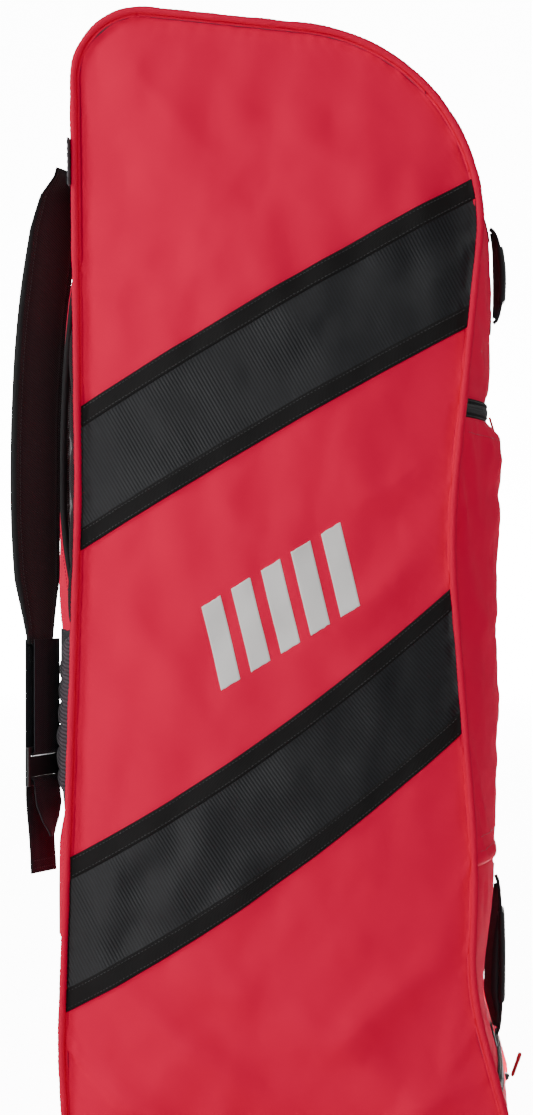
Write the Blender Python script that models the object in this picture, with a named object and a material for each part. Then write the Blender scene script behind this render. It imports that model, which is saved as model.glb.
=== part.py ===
"""Tall hockey equipment bag that stands on its base and is carried by two shoulder straps.

Frame: the straps are on the back at -X, the pockets on the front at +X, the two side panels face
-Y (near) and +Y (far), and +Z is up. The origin is on the ground under the middle of the bag.
Every soft piece is a plain closed solid of the true outer size.
"""

import math

import bmesh
import bpy
from mathutils import Matrix, Vector

# Driving dimensions, in metres.
HALF_WIDTH = 0.140  # centre plane to each side seam
FABRIC = 0.0030  # shell fabric with its foam backing and lining
GAP = 0.0004  # between two pieces that are sewn or laid together
PIPING_RADIUS = 0.0030
BASE_DROP = 2 * PIPING_RADIUS + 0.0010  # the padded base stands the seams this far off the ground
SIDE_CROWN = 0.022  # how far a side panel swells past its seam
WEBBING_WIDTH = 0.038
WEBBING = 0.0018  # thickness of one layer of webbing

# The side panel's outline, clockwise from the middle of the back: x, z and corner radius.
OUTLINE_CORNERS = (
    (-0.1600, 0.580, 1.50),
    (-0.1645, 0.998, 0.055),
    (0.1910, 0.957, 0.165),
    (0.1505, 0.548, 0.60),
    (0.1730, 0.270, 0.80),
    (0.1690, 0.165, 0.25),
    (0.2120, BASE_DROP, 0.030),
    (-0.1700, BASE_DROP, 0.030),
    (-0.1755, 0.110, 0.35),
)
ARC_STEP = math.radians(14)
LONGEST_STEP = 0.075  # between two points of the outline

# The gusset swells between its seams, most of all on the front, where the bag is packed fullest.
BACK_SWELL, TOP_SWELL, FRONT_SWELL = 0.009, 0.005, 0.005
FRONT_PACKING, PACKING_MIDDLE, PACKING_REACH = 0.018, 0.490, 0.350
GUSSET_COLUMNS = (0.040, 0.075, 0.100, 0.122)

SPINE_LOW, SPINE_HIGH = 0.18, 0.82  # heights that the side panel's crown runs between
RINGS = (0.0, 0.12, 0.32, 0.66)

BAND_WIDTH = 0.105  # a ribbed band with its two tapes
# The middle line of each band: its height at x = 0, its rise towards the front there, and its bend.
BAND_LINES = {"upper": (0.6930, 0.576, -0.125), "lower": (0.3165, 0.721, 0.550)}
TAPE_WIDTH = 0.0155
BAND_THICK, TAPE_THICK = 0.0012, 0.0010
REACH, REACH_STEPS = 0.25, 10  # half length of the bars that cut the bands out, past the bag's sides

FLAP_BACK_X = -0.112  # the main flap runs from here over the top
FLAP_HINGE_Z = 0.858  # to here on the front
FLAP_HALF = 0.0905
ZIP_SPLIT, ZIP_OUTER = 0.0937, 0.1000
ZIP_CROSS = 0.0065  # width of each half of the zip across the back of the flap
ZIP_THICK = 0.0026

POCKET_TOP, POCKET_BOTTOM = 0.648, 0.270
POCKET_BULGE, POCKET_FABRIC = 0.022, 0.0022
POCKET_ZIP_TOP = 0.664
LOWER_ZIP = (0.084, 0.068)
SEWN_LIFT = 0.0007  # what is sewn on the gusset clears it by this

PAD_HALF = 0.104
SPINE_PAD = (0.470, 0.730, 0.011)  # low z, high z, thickness
LUMBAR_PAD = (0.325, 0.462, 0.017)

STRAP_HALF, STRAP_THICK = 0.030, 0.012
STRAP_TWIST = math.radians(26)  # how far the strap's inner face turns towards the side
STRAP_Y = 0.090
STRAP_TOP = (-0.1820, 0.866)
STRAP_LINE = (
    STRAP_TOP,
    (-0.1900, 0.815),
    (-0.2010, 0.735),
    (-0.2065, 0.640),
    (-0.2065, 0.540),
    (-0.2030, 0.455),
)
LOCK_X, LOCK_TOP = -0.2010, 0.366
WING_TIP = (-0.1900, 0.106, 0.290)  # where a strap's lower webbing is sewn; y is for the far side
LOCK_WIDTH, LOCK_HEIGHT, LOCK_THICK = 0.048, 0.034, 0.0042
LOCK_BAR = 0.0050

HANDLE_HALF, GRIP_HALF = 0.0160, 0.0185  # half widths of a handle's webbing and of the grip round it
HANDLE_LIFT = 0.0055  # a handle swings about a line this far off the front
HANDLE_REACH = {"upper": 0.0075, "lower": 0.0030}  # how far its arch stands off that line
HANDLE_ENDS = {"upper": (0.739, 0.821), "lower": (0.098, 0.244)}
SLIDER_SIZE = (0.0120, 0.0056, 0.0040)
POCKET_SLIDER_Y, LOWER_SLIDER_Y = 0.085, -0.085  # where the cross zips' sliders rest, when these are closed

BLACK = (0.012, 0.012, 0.014)
RED = (0.62, 0.012, 0.050)


# ---------------------------------------------------------------- materials and meshes


def material(name, colour, roughness, metallic=0.0):
    made = bpy.data.materials.new(name)
    made.use_nodes = True
    shader = made.node_tree.nodes["Principled BSDF"]
    shader.inputs["Base Color"].default_value = (*colour, 1.0)
    shader.inputs["Roughness"].default_value = roughness
    shader.inputs["Metallic"].default_value = metallic
    return made


def finish(name, mesh, finish_name):
    """Links a mesh as a named object with one of the bag's finishes."""
    made = bpy.data.objects.new(name, mesh)
    mesh.materials.append(FINISHES[finish_name])
    bpy.context.scene.collection.objects.link(made)
    return made


def solid(name, points, faces, finish_name, smooth=True):
    """A closed mesh with its faces pointing out. Points that no face uses are dropped."""
    mesh = bpy.data.meshes.new(name)
    mesh.from_pydata([tuple(p) for p in points], [], faces)
    built = bmesh.new()
    built.from_mesh(mesh)
    unused = [vertex for vertex in built.verts if not vertex.link_faces]
    bmesh.ops.delete(built, geom=unused, context="VERTS")
    bmesh.ops.recalc_face_normals(built, faces=built.faces)
    built.to_mesh(mesh)
    built.free()
    if smooth:
        mesh.shade_smooth()
        mesh.set_sharp_from_angle(angle=math.radians(40))
    return finish(name, mesh, finish_name)


def pivot(made, point):
    """Moves an object's origin onto its joint's axis, and leaves its shape where it is."""
    made.data.transform(Matrix.Translation(-Vector(point)))
    made.location = point
    return made


# ---------------------------------------------------------------- the outline of the bag


def fillet(before, corner, after, radius):
    """The points of a rounded corner, from where it leaves one straight to where it meets the next."""
    arrive = (corner - before).normalized()
    leave = (after - corner).normalized()
    turn = arrive.angle_signed(leave)
    tangent = radius * math.tan(abs(turn) / 2)
    start = corner - arrive * tangent
    side = Vector((arrive.y, -arrive.x)) * math.copysign(1, turn)
    centre = start + side * radius
    steps = max(2, math.ceil(abs(turn) / ARC_STEP))
    points = []
    for i in range(steps + 1):
        angle = -turn * i / steps
        arm = start - centre
        cosine, sine = math.cos(angle), math.sin(angle)
        points.append(centre + Vector((arm.x * cosine - arm.y * sine, arm.x * sine + arm.y * cosine)))
    return points


def outline_points():
    corners = [Vector((x, z)) for x, z, _ in OUTLINE_CORNERS]
    count = len(corners)
    points = []
    for i, (_, _, radius) in enumerate(OUTLINE_CORNERS):
        points += fillet(corners[i - 1], corners[i], corners[(i + 1) % count], radius)
    stepped = []
    for start, end in zip(points, points[1:] + points[:1]):
        steps = math.ceil((end - start).length / LONGEST_STEP)
        stepped += [start.lerp(end, i / steps) for i in range(steps)]
    return stepped


def outline_normals(points):
    normals = []
    for i, point in enumerate(points):
        along = (points[(i + 1) % len(points)] - point).normalized() + (point - points[i - 1]).normalized()
        normals.append(Vector((-along.y, along.x)).normalized())
    return normals


OUTLINE = outline_points()
NORMALS = outline_normals(OUTLINE)
STATIONS = [0.0]
for point_a, point_b in zip(OUTLINE, OUTLINE[1:] + OUTLINE[:1]):
    STATIONS.append(STATIONS[-1] + (point_b - point_a).length)
LENGTH = STATIONS.pop()


def swell(point, normal):
    """How far the gusset's middle stands out beyond its seams at this point of the outline."""
    upward = TOP_SWELL * normal.y**2 if normal.y > 0 else 0.0
    if normal.x < 0:
        return upward + BACK_SWELL * normal.x**2
    off_middle = min(1, abs(point.y - PACKING_MIDDLE) / PACKING_REACH)
    return upward + (FRONT_SWELL + FRONT_PACKING * (1 - off_middle**4)) * normal.x**2


def gusset_point(station, y, lift):
    """A point of the gusset: along the outline, across the bag, and out from the outer face."""
    station %= LENGTH
    i = max(k for k, value in enumerate(STATIONS) if value <= station)
    j = (i + 1) % len(STATIONS)
    span = (STATIONS[j] if j else LENGTH) - STATIONS[i]
    share = (station - STATIONS[i]) / span
    ends = []
    for k in (i, j):
        out = swell(OUTLINE[k], NORMALS[k]) * (1 - abs(y / HALF_WIDTH) ** 3) + lift
        ends.append(OUTLINE[k] + NORMALS[k] * out)
    place = ends[0].lerp(ends[1], share)
    return Vector((place.x, y, place.y))


def station_near(x, z):
    """The station of the outline that lies nearest to a point."""
    target = Vector((x, z))
    found = (math.inf, 0.0)
    for i, start in enumerate(OUTLINE):
        end = OUTLINE[(i + 1) % len(OUTLINE)]
        along = end - start
        share = min(1, max(0, (target - start).dot(along) / along.length_squared))
        found = min(found, ((start + along * share - target).length, STATIONS[i] + along.length * share))
    return found[1]


def on_back(z):
    return station_near(-0.170, z)


def on_front(z):
    return station_near(0.180, z)


def on_top(x):
    return station_near(x, 1.0)


def stations_between(first, last):
    """The two ends and every corner of the outline between them."""
    if last < first:
        last += LENGTH
    inner = [s + turn for turn in (0, LENGTH) for s in STATIONS]
    inside = sorted(s for s in inner if first + 0.0005 < s < last - 0.0005)
    return [first, *inside, last]


def across(half):
    """Positions across the bag, from -half to half, at the gusset's own columns where it has them."""
    positive = [y for y in GUSSET_COLUMNS if y < half - 0.003] + [half]
    return [-y for y in reversed(positive)] + [0.0] + positive


# ---------------------------------------------------------------- sheets that follow the gusset


def flat_lift(low, high):
    return lambda u, v: (low, high)


def pocket_lift(thickness, rise):
    """A pocket: it stands out from its edges to its middle, and is packed fullest near its top."""

    def lift(u, v):
        share = math.sin(math.pi * u**0.42) * (1 - abs(2 * v - 1) ** 2.5)
        return SEWN_LIFT + rise * share, SEWN_LIFT + rise * share + thickness

    return lift


def filled_lift(edge, rise):
    """A filled pad: flat against the bag, and thicker at its middle."""

    def lift(u, v):
        share = (1 - abs(2 * u - 1) ** 4) * (1 - abs(2 * v - 1) ** 4)
        return SEWN_LIFT, SEWN_LIFT + edge + rise * share

    return lift


def wing_lift(height):
    """A corner of fabric drawn out to a tip, where a strap is sewn to it."""

    def lift(u, v):
        tip = max(0, 1 - abs(2 * v - 1)) * min(1, (1 - u) / 0.30)
        return SEWN_LIFT, SEWN_LIFT + 0.0020 + height * tip

    return lift


def slab_faces(rows, columns, keep):
    """Faces of a slab whose points run row by row, column by column, inner point then outer point.
    keep says which cells of its grid it has."""

    def kept(i, j):
        return 0 <= i < rows - 1 and 0 <= j < columns - 1 and keep(i, j)

    faces = []
    for i, j in ((i, j) for i in range(rows - 1) for j in range(columns - 1) if kept(i, j)):
        corners = ((i, j), (i + 1, j), (i + 1, j + 1), (i, j + 1))
        ring = [2 * (row * columns + column) for row, column in corners]
        a, b, c, d = ring
        faces += [(c, b, a), (d, c, a), (a + 1, b + 1, c + 1), (a + 1, c + 1, d + 1)]
        for k, neighbour in enumerate(((i, j - 1), (i + 1, j), (i, j + 1), (i - 1, j))):
            if not kept(*neighbour):
                start, end = ring[k], ring[(k + 1) % 4]
                faces.append((start, end, end + 1, start + 1))
    return faces


def gusset_sheet(name, stations, widths, lift, finish_name, keep=lambda s, y: True):
    """A closed sheet on the gusset. lift gives its two faces, and keep says which cells it has."""
    first, last = stations[0], stations[-1]
    low_y, high_y = widths[0], widths[-1]
    points = []
    for s in stations:
        for y in widths:
            inner, outer = lift((s - first) / (last - first), (y - low_y) / (high_y - low_y))
            points += [gusset_point(s, y, inner), gusset_point(s, y, outer)]

    def keep_cell(i, j):
        return keep((stations[i] + stations[i + 1]) / 2, (widths[j] + widths[j + 1]) / 2)

    return solid(name, points, slab_faces(len(stations), len(widths), keep_cell), finish_name)


# ---------------------------------------------------------------- side panels, bands and piping


def crown_rings():
    """Rings of the side panel, from its seam in towards a line up its middle, each with its rise."""
    rings = []
    for share in RINGS:
        ring = []
        for point in OUTLINE:
            middle = Vector((0.0, min(SPINE_HIGH, max(SPINE_LOW, point.y))))
            ring.append(middle + (point - middle) * (1 - share))
        rings.append((ring, SIDE_CROWN * (1 - (1 - share) ** 2)))
    return rings


def side_layer(name, side, low, high, finish_name):
    """One layer of the crowned side of the bag, between two heights above the seam's plane."""
    points, faces = [], []
    count = len(OUTLINE)
    rings = crown_rings()
    for height in (low, high):
        for ring, rise in rings:
            y = side * (HALF_WIDTH + height + rise)
            points += [(p.x, y, p.y) for p in ring]
    layer = len(rings) * count
    for k in range(len(rings) - 1):
        for i in range(count):
            j = (i + 1) % count
            a, b = k * count + i, k * count + j
            c, d = b + count, a + count
            for base in (0, layer):
                faces += [(base + a, base + b, base + c), (base + a, base + c, base + d)]
    last = (len(rings) - 1) * count
    for base in (0, layer):
        faces.append([base + last + i for i in range(count)])
    for i in range(count):
        j = (i + 1) % count
        faces.append((i, j, layer + j, layer + i))
    return solid(name, points, faces, finish_name)


def band_cutter(name, which, low, high):
    """A bent bar through the bag, between two heights measured up the panel from the band's middle line."""
    height, slope, bend = BAND_LINES[which]
    points = []
    for i in range(REACH_STEPS + 1):
        x = REACH * (2 * i / REACH_STEPS - 1)
        middle = height + slope * x + bend * x**2
        points += [(x, y, middle + edge) for edge in (low, high) for y in (-REACH, REACH)]
    faces = [(0, 1, 3, 2), tuple(4 * REACH_STEPS + k for k in (0, 1, 3, 2))]
    for i in range(REACH_STEPS):
        for start, end in ((0, 1), (1, 3), (3, 2), (2, 0)):
            faces.append((4 * i + start, 4 * i + end, 4 * i + end + 4, 4 * i + start + 4))
    cutter = solid(name, points, faces, "red_fabric", smooth=False)
    cutter.hide_render = True
    cutter.display_type = "WIRE"
    return cutter


def cut_to(layer, cutter):
    boolean = layer.modifiers.new("band", "BOOLEAN")
    boolean.operation = "INTERSECT"
    boolean.object = cutter


def make_bands():
    """A ribbed band and the tape over each of its two edges, twice on each side."""
    band_low = FABRIC + GAP
    tape_low = band_low + BAND_THICK + GAP
    for which, (_, slope, _) in BAND_LINES.items():
        half = BAND_WIDTH / 2 * math.hypot(1, slope)
        tape = TAPE_WIDTH * math.hypot(1, slope)
        spans = {"upper_edge": (half - tape, half), "lower_edge": (-half, tape - half)}
        band = band_cutter(f"cutter_{which}_band", which, -half, half)
        edges = {}
        for edge, span in spans.items():
            edges[edge] = band_cutter(f"cutter_{which}_{edge}", which, *span)
        for side_name, side in SIDES.items():
            name = f"{which}_band_{side_name}"
            cut_to(side_layer(name, side, band_low, band_low + BAND_THICK, "ribbed_band"), band)
            for edge, cutter in edges.items():
                name = f"{which}_band_{edge}_tape_{side_name}"
                cut_to(side_layer(name, side, tape_low, tape_low + TAPE_THICK, "webbing"), cutter)


def tube(name, points, radius, finish_name):
    """A closed loop of cord."""
    curve = bpy.data.curves.new(name, "CURVE")
    curve.dimensions = "3D"
    curve.bevel_depth = radius
    curve.bevel_resolution = 1
    spline = curve.splines.new("POLY")
    spline.points.add(len(points) - 1)
    for control, point in zip(spline.points, points):
        control.co = (*point, 1.0)
    spline.use_cyclic_u = True
    return finish(name, curve, finish_name)


def make_sides():
    away = PIPING_RADIUS + 1.5 * GAP
    loop = [point + normal * away for point, normal in zip(OUTLINE, NORMALS)]
    for side_name, side in SIDES.items():
        side_layer(f"side_panel_{side_name}", side, 0.0, FABRIC, "red_fabric")
        y = side * (HALF_WIDTH + FABRIC / 2)
        tube(f"piping_{side_name}", [(p.x, y, p.y) for p in loop], PIPING_RADIUS, "red_fabric")


# ---------------------------------------------------------------- gusset panels and openings


def make_gusset():
    """Back, front and base panels, and the two rails beside the main flap."""
    edge = HALF_WIDTH - GAP
    skin = flat_lift(-FABRIC, 0.0)
    flap_back, hinge = on_top(FLAP_BACK_X), on_front(FLAP_HINGE_Z)
    base_back = station_near(-0.140, BASE_DROP)
    base_front = station_near(0.170, BASE_DROP)
    gusset_sheet("back_panel", stations_between(base_back, flap_back - GAP), across(edge), skin, "red_fabric")
    gusset_sheet("front_panel", stations_between(hinge + GAP, base_front), across(edge), skin, "red_fabric")
    base_edge = HALF_WIDTH - 2 * GAP - PIPING_RADIUS / 2
    base_x = (-0.140 + GAP, 0.170 - GAP)
    base_top = BASE_DROP + FABRIC
    plate("base_panel", base_x, (-base_edge, base_edge), (0.0, base_top), "base_fabric", bevel=0.0025)
    top = stations_between(flap_back, hinge)
    for side_name, side in SIDES.items():
        rail = sorted(side * y for y in (ZIP_OUTER + GAP, 0.122, edge))
        gusset_sheet(f"top_rail_{side_name}", top, rail, skin, "red_fabric")


def make_main_flap():
    """The flap over the top, with one half of the zip on it and the other on the bag."""
    start, hinge = on_top(FLAP_BACK_X), on_front(FLAP_HINGE_Z)
    tape_start = start + ZIP_CROSS + GAP
    flap_start = tape_start + ZIP_CROSS / 2
    hinge_line = gusset_point(hinge, 0, 0)
    flap_stations = stations_between(flap_start, hinge)
    flap = gusset_sheet("main_flap", flap_stations, across(FLAP_HALF), flat_lift(-FABRIC, 0.0), "red_fabric")

    tape = flat_lift(-FABRIC, ZIP_THICK - FABRIC)
    columns = [*across(FLAP_HALF)[1:-1]]
    bag_columns = [-ZIP_OUTER, -ZIP_SPLIT - GAP, *columns, ZIP_SPLIT + GAP, ZIP_OUTER]
    bag_stations = [start, *stations_between(start + ZIP_CROSS, hinge)]
    gusset_sheet(
        "main_zip_bag_tape",
        bag_stations,
        bag_columns,
        tape,
        "zip_tape",
        keep=lambda s, y: s < start + ZIP_CROSS or abs(y) > ZIP_SPLIT,
    )
    flap_columns = [-ZIP_SPLIT, -FLAP_HALF - GAP, *columns, FLAP_HALF + GAP, ZIP_SPLIT]
    cross_end = flap_start - GAP
    flap_tape = gusset_sheet(
        "main_zip_flap_tape",
        [tape_start, *stations_between(cross_end, hinge)],
        flap_columns,
        tape,
        "zip_tape",
        keep=lambda s, y: s < cross_end or abs(y) > FLAP_HALF,
    )
    for piece in (flap, flap_tape):
        pivot(piece, hinge_line)


def make_front_pockets():
    top, bottom = on_front(POCKET_TOP), on_front(POCKET_BOTTOM)
    widths = across(HALF_WIDTH - PIPING_RADIUS)
    bulge = pocket_lift(POCKET_FABRIC, POCKET_BULGE)
    gusset_sheet("front_pocket", stations_between(top, bottom), widths, bulge, "red_fabric")
    tape = flat_lift(SEWN_LIFT, SEWN_LIFT + ZIP_THICK)
    zip_top = on_front(POCKET_ZIP_TOP)
    gusset_sheet("front_pocket_zip", [zip_top, top - GAP], widths, tape, "zip_tape")
    gusset_sheet("lower_zip", [on_front(z) for z in LOWER_ZIP], across(0.121), tape, "zip_tape")


def make_stiffeners():
    """What holds the bag's shape: a sheet behind the back, a board in the base and the stick divider."""
    behind = -FABRIC - 0.0006
    sheet = stations_between(on_back(0.060), on_back(0.925))
    gusset_sheet("frame_sheet", sheet, across(0.126), flat_lift(behind - 0.0016, behind), "board")
    board_low = BASE_DROP + FABRIC + GAP
    plate("base_board", (-0.130, 0.165), (-0.130, 0.130), (board_low, board_low + 0.0030), "board")
    plate("stick_divider", (-0.0815, -0.0795), (-0.1415, 0.1415), (board_low + 0.0035, 0.900), "lining")


def plate(name, x_span, y_span, z_span, finish_name, bevel=0.0):
    """A plain board, or a block with rounded edges."""
    corners = [(x, y, z) for z in z_span for y in y_span for x in x_span]
    faces = [(0, 1, 3, 2), (4, 5, 7, 6), (0, 1, 5, 4), (1, 3, 7, 5), (3, 2, 6, 7), (2, 0, 4, 6)]
    made = solid(name, corners, faces, finish_name, smooth=False)
    if bevel:
        rounding = made.modifiers.new("rounding", "BEVEL")
        rounding.width = bevel
        rounding.segments = 2
    return made


def make_back_pads():
    for name, (low_z, high_z, thick), cover in (
        ("spine_pad", SPINE_PAD, "pad_fabric"),
        ("lumbar_pad", LUMBAR_PAD, "air_mesh"),
    ):
        stations = stations_between(on_back(low_z), on_back(high_z))
        gusset_sheet(name, stations, across(PAD_HALF), filled_lift(0.004, thick - 0.004), cover)
    yoke = [on_back(0.846), on_back(0.886)]
    tape = flat_lift(SEWN_LIFT, SEWN_LIFT + WEBBING)
    gusset_sheet("yoke_webbing", yoke, across(HALF_WIDTH - PIPING_RADIUS), tape, "webbing")


# ---------------------------------------------------------------- ribbons: handles and straps


def ribbon(name, path, halves, thicknesses, wides, outs, finish_name, bore=None):
    """A flat band swept along a path. wides and outs are its directions across and out at each point.
    bore is the (half width, thickness) of a slot through its whole length."""
    points = []
    for place, half, thickness, wide, out in zip(path, halves, thicknesses, wides, outs):
        for ring_half, ring_thickness in [(half, thickness)] + ([bore] if bore else []):
            for w, t in ((-1, -1), (1, -1), (1, 1), (-1, 1)):
                points.append(place + wide * ring_half * w + out * ring_thickness / 2 * t)
    rings = 2 if bore else 1
    size = 4 * rings
    sides = [(ring * 4 + k, ring * 4 + (k + 1) % 4) for ring in range(rings) for k in range(4)]
    faces = []
    for i in range(len(path) - 1):
        faces += [(i * size + a, i * size + b, i * size + b + size, i * size + a + size) for a, b in sides]
    for base in (0, (len(path) - 1) * size):
        if bore:
            faces += [(base + a, base + b, base + b + 4, base + a + 4) for a, b in sides[:4]]
        else:
            faces.append((base, base + 1, base + 2, base + 3))
    return solid(name, points, faces, finish_name)


def outs_along(path, wides):
    """The directions out of a ribbon: square to its path and to its width."""
    last = len(path) - 1
    steps = [path[min(i + 1, last)] - path[max(i - 1, 0)] for i in range(last + 1)]
    return [step.cross(wide).normalized() for step, wide in zip(steps, wides)]


def make_handle(which):
    """A webbing arch with a padded grip round its middle. It swings about the line through its sewn ends."""
    count, thickness, grip_thickness, end_half = 11, 0.0030, 0.0070, 0.0065
    low, high = (gusset_point(on_front(z), 0, HANDLE_LIFT) for z in HANDLE_ENDS[which])
    away = Vector((0, 1, 0)).cross(high - low).normalized()
    path, halves = [], []
    for i in range(count):
        rise = math.sin(math.pi * i / (count - 1))
        path.append(low.lerp(high, i / (count - 1)) + away * HANDLE_REACH[which] * rise**0.6)
        halves.append(end_half + (HANDLE_HALF - end_half) * min(1, 2.2 * rise))
    wides = [Vector((0, 1, 0))] * count
    outs = outs_along(path, wides)
    middle = slice(2, count - 2)
    grip_count = count - 4
    webbing = ribbon(f"{which}_handle_webbing", path, halves, [thickness] * count, wides, outs, "webbing")
    grip = ribbon(
        f"{which}_handle_grip",
        path[middle],
        [GRIP_HALF] * grip_count,
        [grip_thickness] * grip_count,
        wides[middle],
        outs[middle],
        "pad_fabric",
        bore=(HANDLE_HALF + GAP, thickness + 2 * GAP),
    )
    for piece in (webbing, grip):
        pivot(piece, low)


def strap_wide(side, share):
    """The direction across a shoulder strap that has turned by this share of its twist."""
    turn = STRAP_TWIST * share
    return Vector((math.sin(turn), -side * math.cos(turn), 0))


def through(points, count):
    """A smooth line through a few points, given as x and z."""
    padded = [Vector(p) for p in (points[0], *points, points[-1])]
    line = []
    for i in range(count):
        place = i / (count - 1) * (len(points) - 1)
        k = min(int(place), len(points) - 2)
        t = place - k
        p0, p1, p2, p3 = padded[k : k + 4]
        curve = 2 * p1 + (p2 - p0) * t + (2 * p0 - 5 * p1 + 4 * p2 - p3) * t**2
        line.append((curve + (3 * p1 - p0 - 3 * p2 + p3) * t**3) / 2)
    return line


def strap_piece(name, path, shares, halves, thicknesses, side, finish_name):
    """A ribbon of a shoulder strap, which swings with the whole strap."""
    wides = [strap_wide(side, share) for share in shares]
    made = ribbon(name, path, halves, thicknesses, wides, outs_along(path, wides), finish_name)
    return pivot(made, (STRAP_TOP[0], side * STRAP_Y, STRAP_TOP[1]))


def lock_place(side, out, z):
    """A point in the ladder lock's middle plane, from its distance out from the lock and its height."""
    away = strap_wide(side, 1).cross(Vector((0, 0, 1))) * side
    return Vector((LOCK_X, side * STRAP_Y, z)) + away * out


def round_bar(side, bar_z, radius, first, last, count=7):
    """Points round a bar of the ladder lock, at angles in degrees from straight out."""
    angles = [math.radians(first + (last - first) * i / (count - 1)) for i in range(count)]
    return [lock_place(side, radius * math.cos(a), bar_z + radius * math.sin(a)) for a in angles]


def make_strap_pad(side_name, side):
    """The padded strap, narrow where it is sewn to the yoke."""
    count = 15
    line = through(STRAP_LINE, count)
    path = [Vector((x, side * STRAP_Y, z)) for x, z in line]
    shares = [min(1, i / 3) for i in range(count)]
    halves, thicknesses = [], []
    for from_top in range(count):
        from_end = count - 1 - from_top
        halves.append(min(STRAP_HALF, 0.009 + 0.006 * from_top, 0.018 + 0.006 * from_end))
        thicknesses.append(min(STRAP_THICK, 0.004 + 0.0022 * from_top, 0.007 + 0.003 * from_end))
    strap_piece(f"strap_pad_{side_name}", path, shares, halves, thicknesses, side, "pad_fabric")


def make_strap_webbing(side_name, side):
    """A loop from the pad round the lock's upper bar, a run from the bag round its lower bar, and a tail."""
    radius = LOCK_THICK / 2 + WEBBING / 2 + 4 * GAP
    top_bar, low_bar = LOCK_TOP - LOCK_BAR / 2, LOCK_TOP - LOCK_HEIGHT + LOCK_BAR / 2
    half = WEBBING_WIDTH / 2
    pad_end = STRAP_LINE[-1][1] - 0.0006

    loop = [lock_place(side, radius, z) for z in (pad_end, top_bar + 0.003)]
    loop += round_bar(side, top_bar, radius, 0, -180)
    loop += [lock_place(side, -radius, z) for z in (top_bar + 0.003, pad_end)]
    count = len(loop)
    halves, thicknesses = [half] * count, [WEBBING] * count
    strap_piece(f"strap_loop_{side_name}", loop, [1] * count, halves, thicknesses, side, "webbing")

    x, y, z = WING_TIP
    tip = Vector((x, side * y, z))
    bar_side = lock_place(side, -radius, low_bar - 0.003)
    run = [tip, tip.lerp(bar_side, 0.4), bar_side] + round_bar(side, low_bar, radius, 180, 0)
    count = len(run)
    shares = [0, 0.4] + [1] * (count - 2)
    halves = [0.010, 0.016] + [half] * (count - 2)
    strap_piece(f"strap_webbing_{side_name}", run, shares, halves, [WEBBING] * count, side, "webbing")

    tail_top = low_bar - 1.5 * GAP
    tail = [(radius, tail_top), (radius - 0.0005, 0.316), (0.001, 0.285), (-0.001, 0.255)]
    path = [lock_place(side, out, z) for out, z in tail]
    wides = [strap_wide(side, 1)] * len(path)
    outs = outs_along(path, wides)
    tail_piece = ribbon(f"strap_tail_{side_name}", path, [half] * 4, [WEBBING] * 4, wides, outs, "webbing")
    pivot(tail_piece, lock_place(side, radius + WEBBING / 2, tail_top))


def make_ladder_lock(side_name, side):
    """A moulded frame with two slots, one for each run of webbing."""
    rail = (LOCK_WIDTH - WEBBING_WIDTH - 0.0020) / 2
    columns = [-LOCK_WIDTH / 2, rail - LOCK_WIDTH / 2, LOCK_WIDTH / 2 - rail, LOCK_WIDTH / 2]
    slot = (LOCK_HEIGHT - 3 * LOCK_BAR) / 2
    rows = [0.0, LOCK_BAR, LOCK_BAR + slot, 2 * LOCK_BAR + slot, LOCK_HEIGHT - LOCK_BAR, LOCK_HEIGHT]
    wide = strap_wide(side, 1)
    points = []
    for row in rows:
        for column in columns:
            for t in (-1, 1):
                middle = lock_place(side, t * LOCK_THICK / 2, LOCK_TOP - LOCK_HEIGHT + row)
                points.append(middle + wide * column)
    faces = slab_faces(len(rows), len(columns), lambda i, j: not (j == 1 and i in (1, 3)))
    lock = solid(f"ladder_lock_{side_name}", points, faces, "moulded_plastic", smooth=False)
    pivot(lock, (STRAP_TOP[0], side * STRAP_Y, STRAP_TOP[1]))


def make_wings():
    """Red fabric corners that hold the lower ends of the straps."""
    _, tip_y, tip_z = WING_TIP
    for side_name, side in SIDES.items():
        low, high = on_back(0.205), on_back(0.318)
        stations = sorted({*stations_between(low, high), on_back(tip_z)})
        columns = (tip_y - 0.031, tip_y - 0.015, tip_y, tip_y + 0.015, tip_y + 0.031)
        widths = sorted(side * y for y in columns)
        gusset_sheet(f"strap_wing_{side_name}", stations, widths, wing_lift(0.0085), "red_fabric")


# ---------------------------------------------------------------- zip sliders and pullers


def block(name, centre, along, out, size, finish_name):
    """A small rounded block, with its length along one direction and its thickness out from the bag."""
    made = plate(name, *[(-extent / 2, extent / 2) for extent in size], finish_name, bevel=0.0008)
    turn = Matrix((along, out.cross(along), out)).transposed().to_4x4()
    made.data.transform(Matrix.Translation(centre) @ turn)
    return made


def make_slider(name, station, y, along, lift, puller_size, puller_dir):
    """A slider on a zip, lift above the gusset, and the puller that hinges on it."""
    place = gusset_point(station, y, 0)
    out = (gusset_point(station, y, 0.01) - place).normalized()
    along = (along - out * along.dot(out)).normalized()
    centre = place + out * (lift + SLIDER_SIZE[2] / 2)
    pivot(block(f"{name}_slider", centre, along, out, SLIDER_SIZE, "zip_metal"), centre)
    away = puller_dir.normalized()
    puller_out = (out - away * out.dot(away)).normalized()
    hinge = centre + out * (SLIDER_SIZE[2] / 2 + puller_size[2] / 2 + 2.5 * GAP)
    middle = hinge + away * (puller_size[0] / 2 - 0.002)
    pivot(block(f"{name}_puller", middle, away, puller_out, puller_size, "puller_cord"), hinge)


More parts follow.
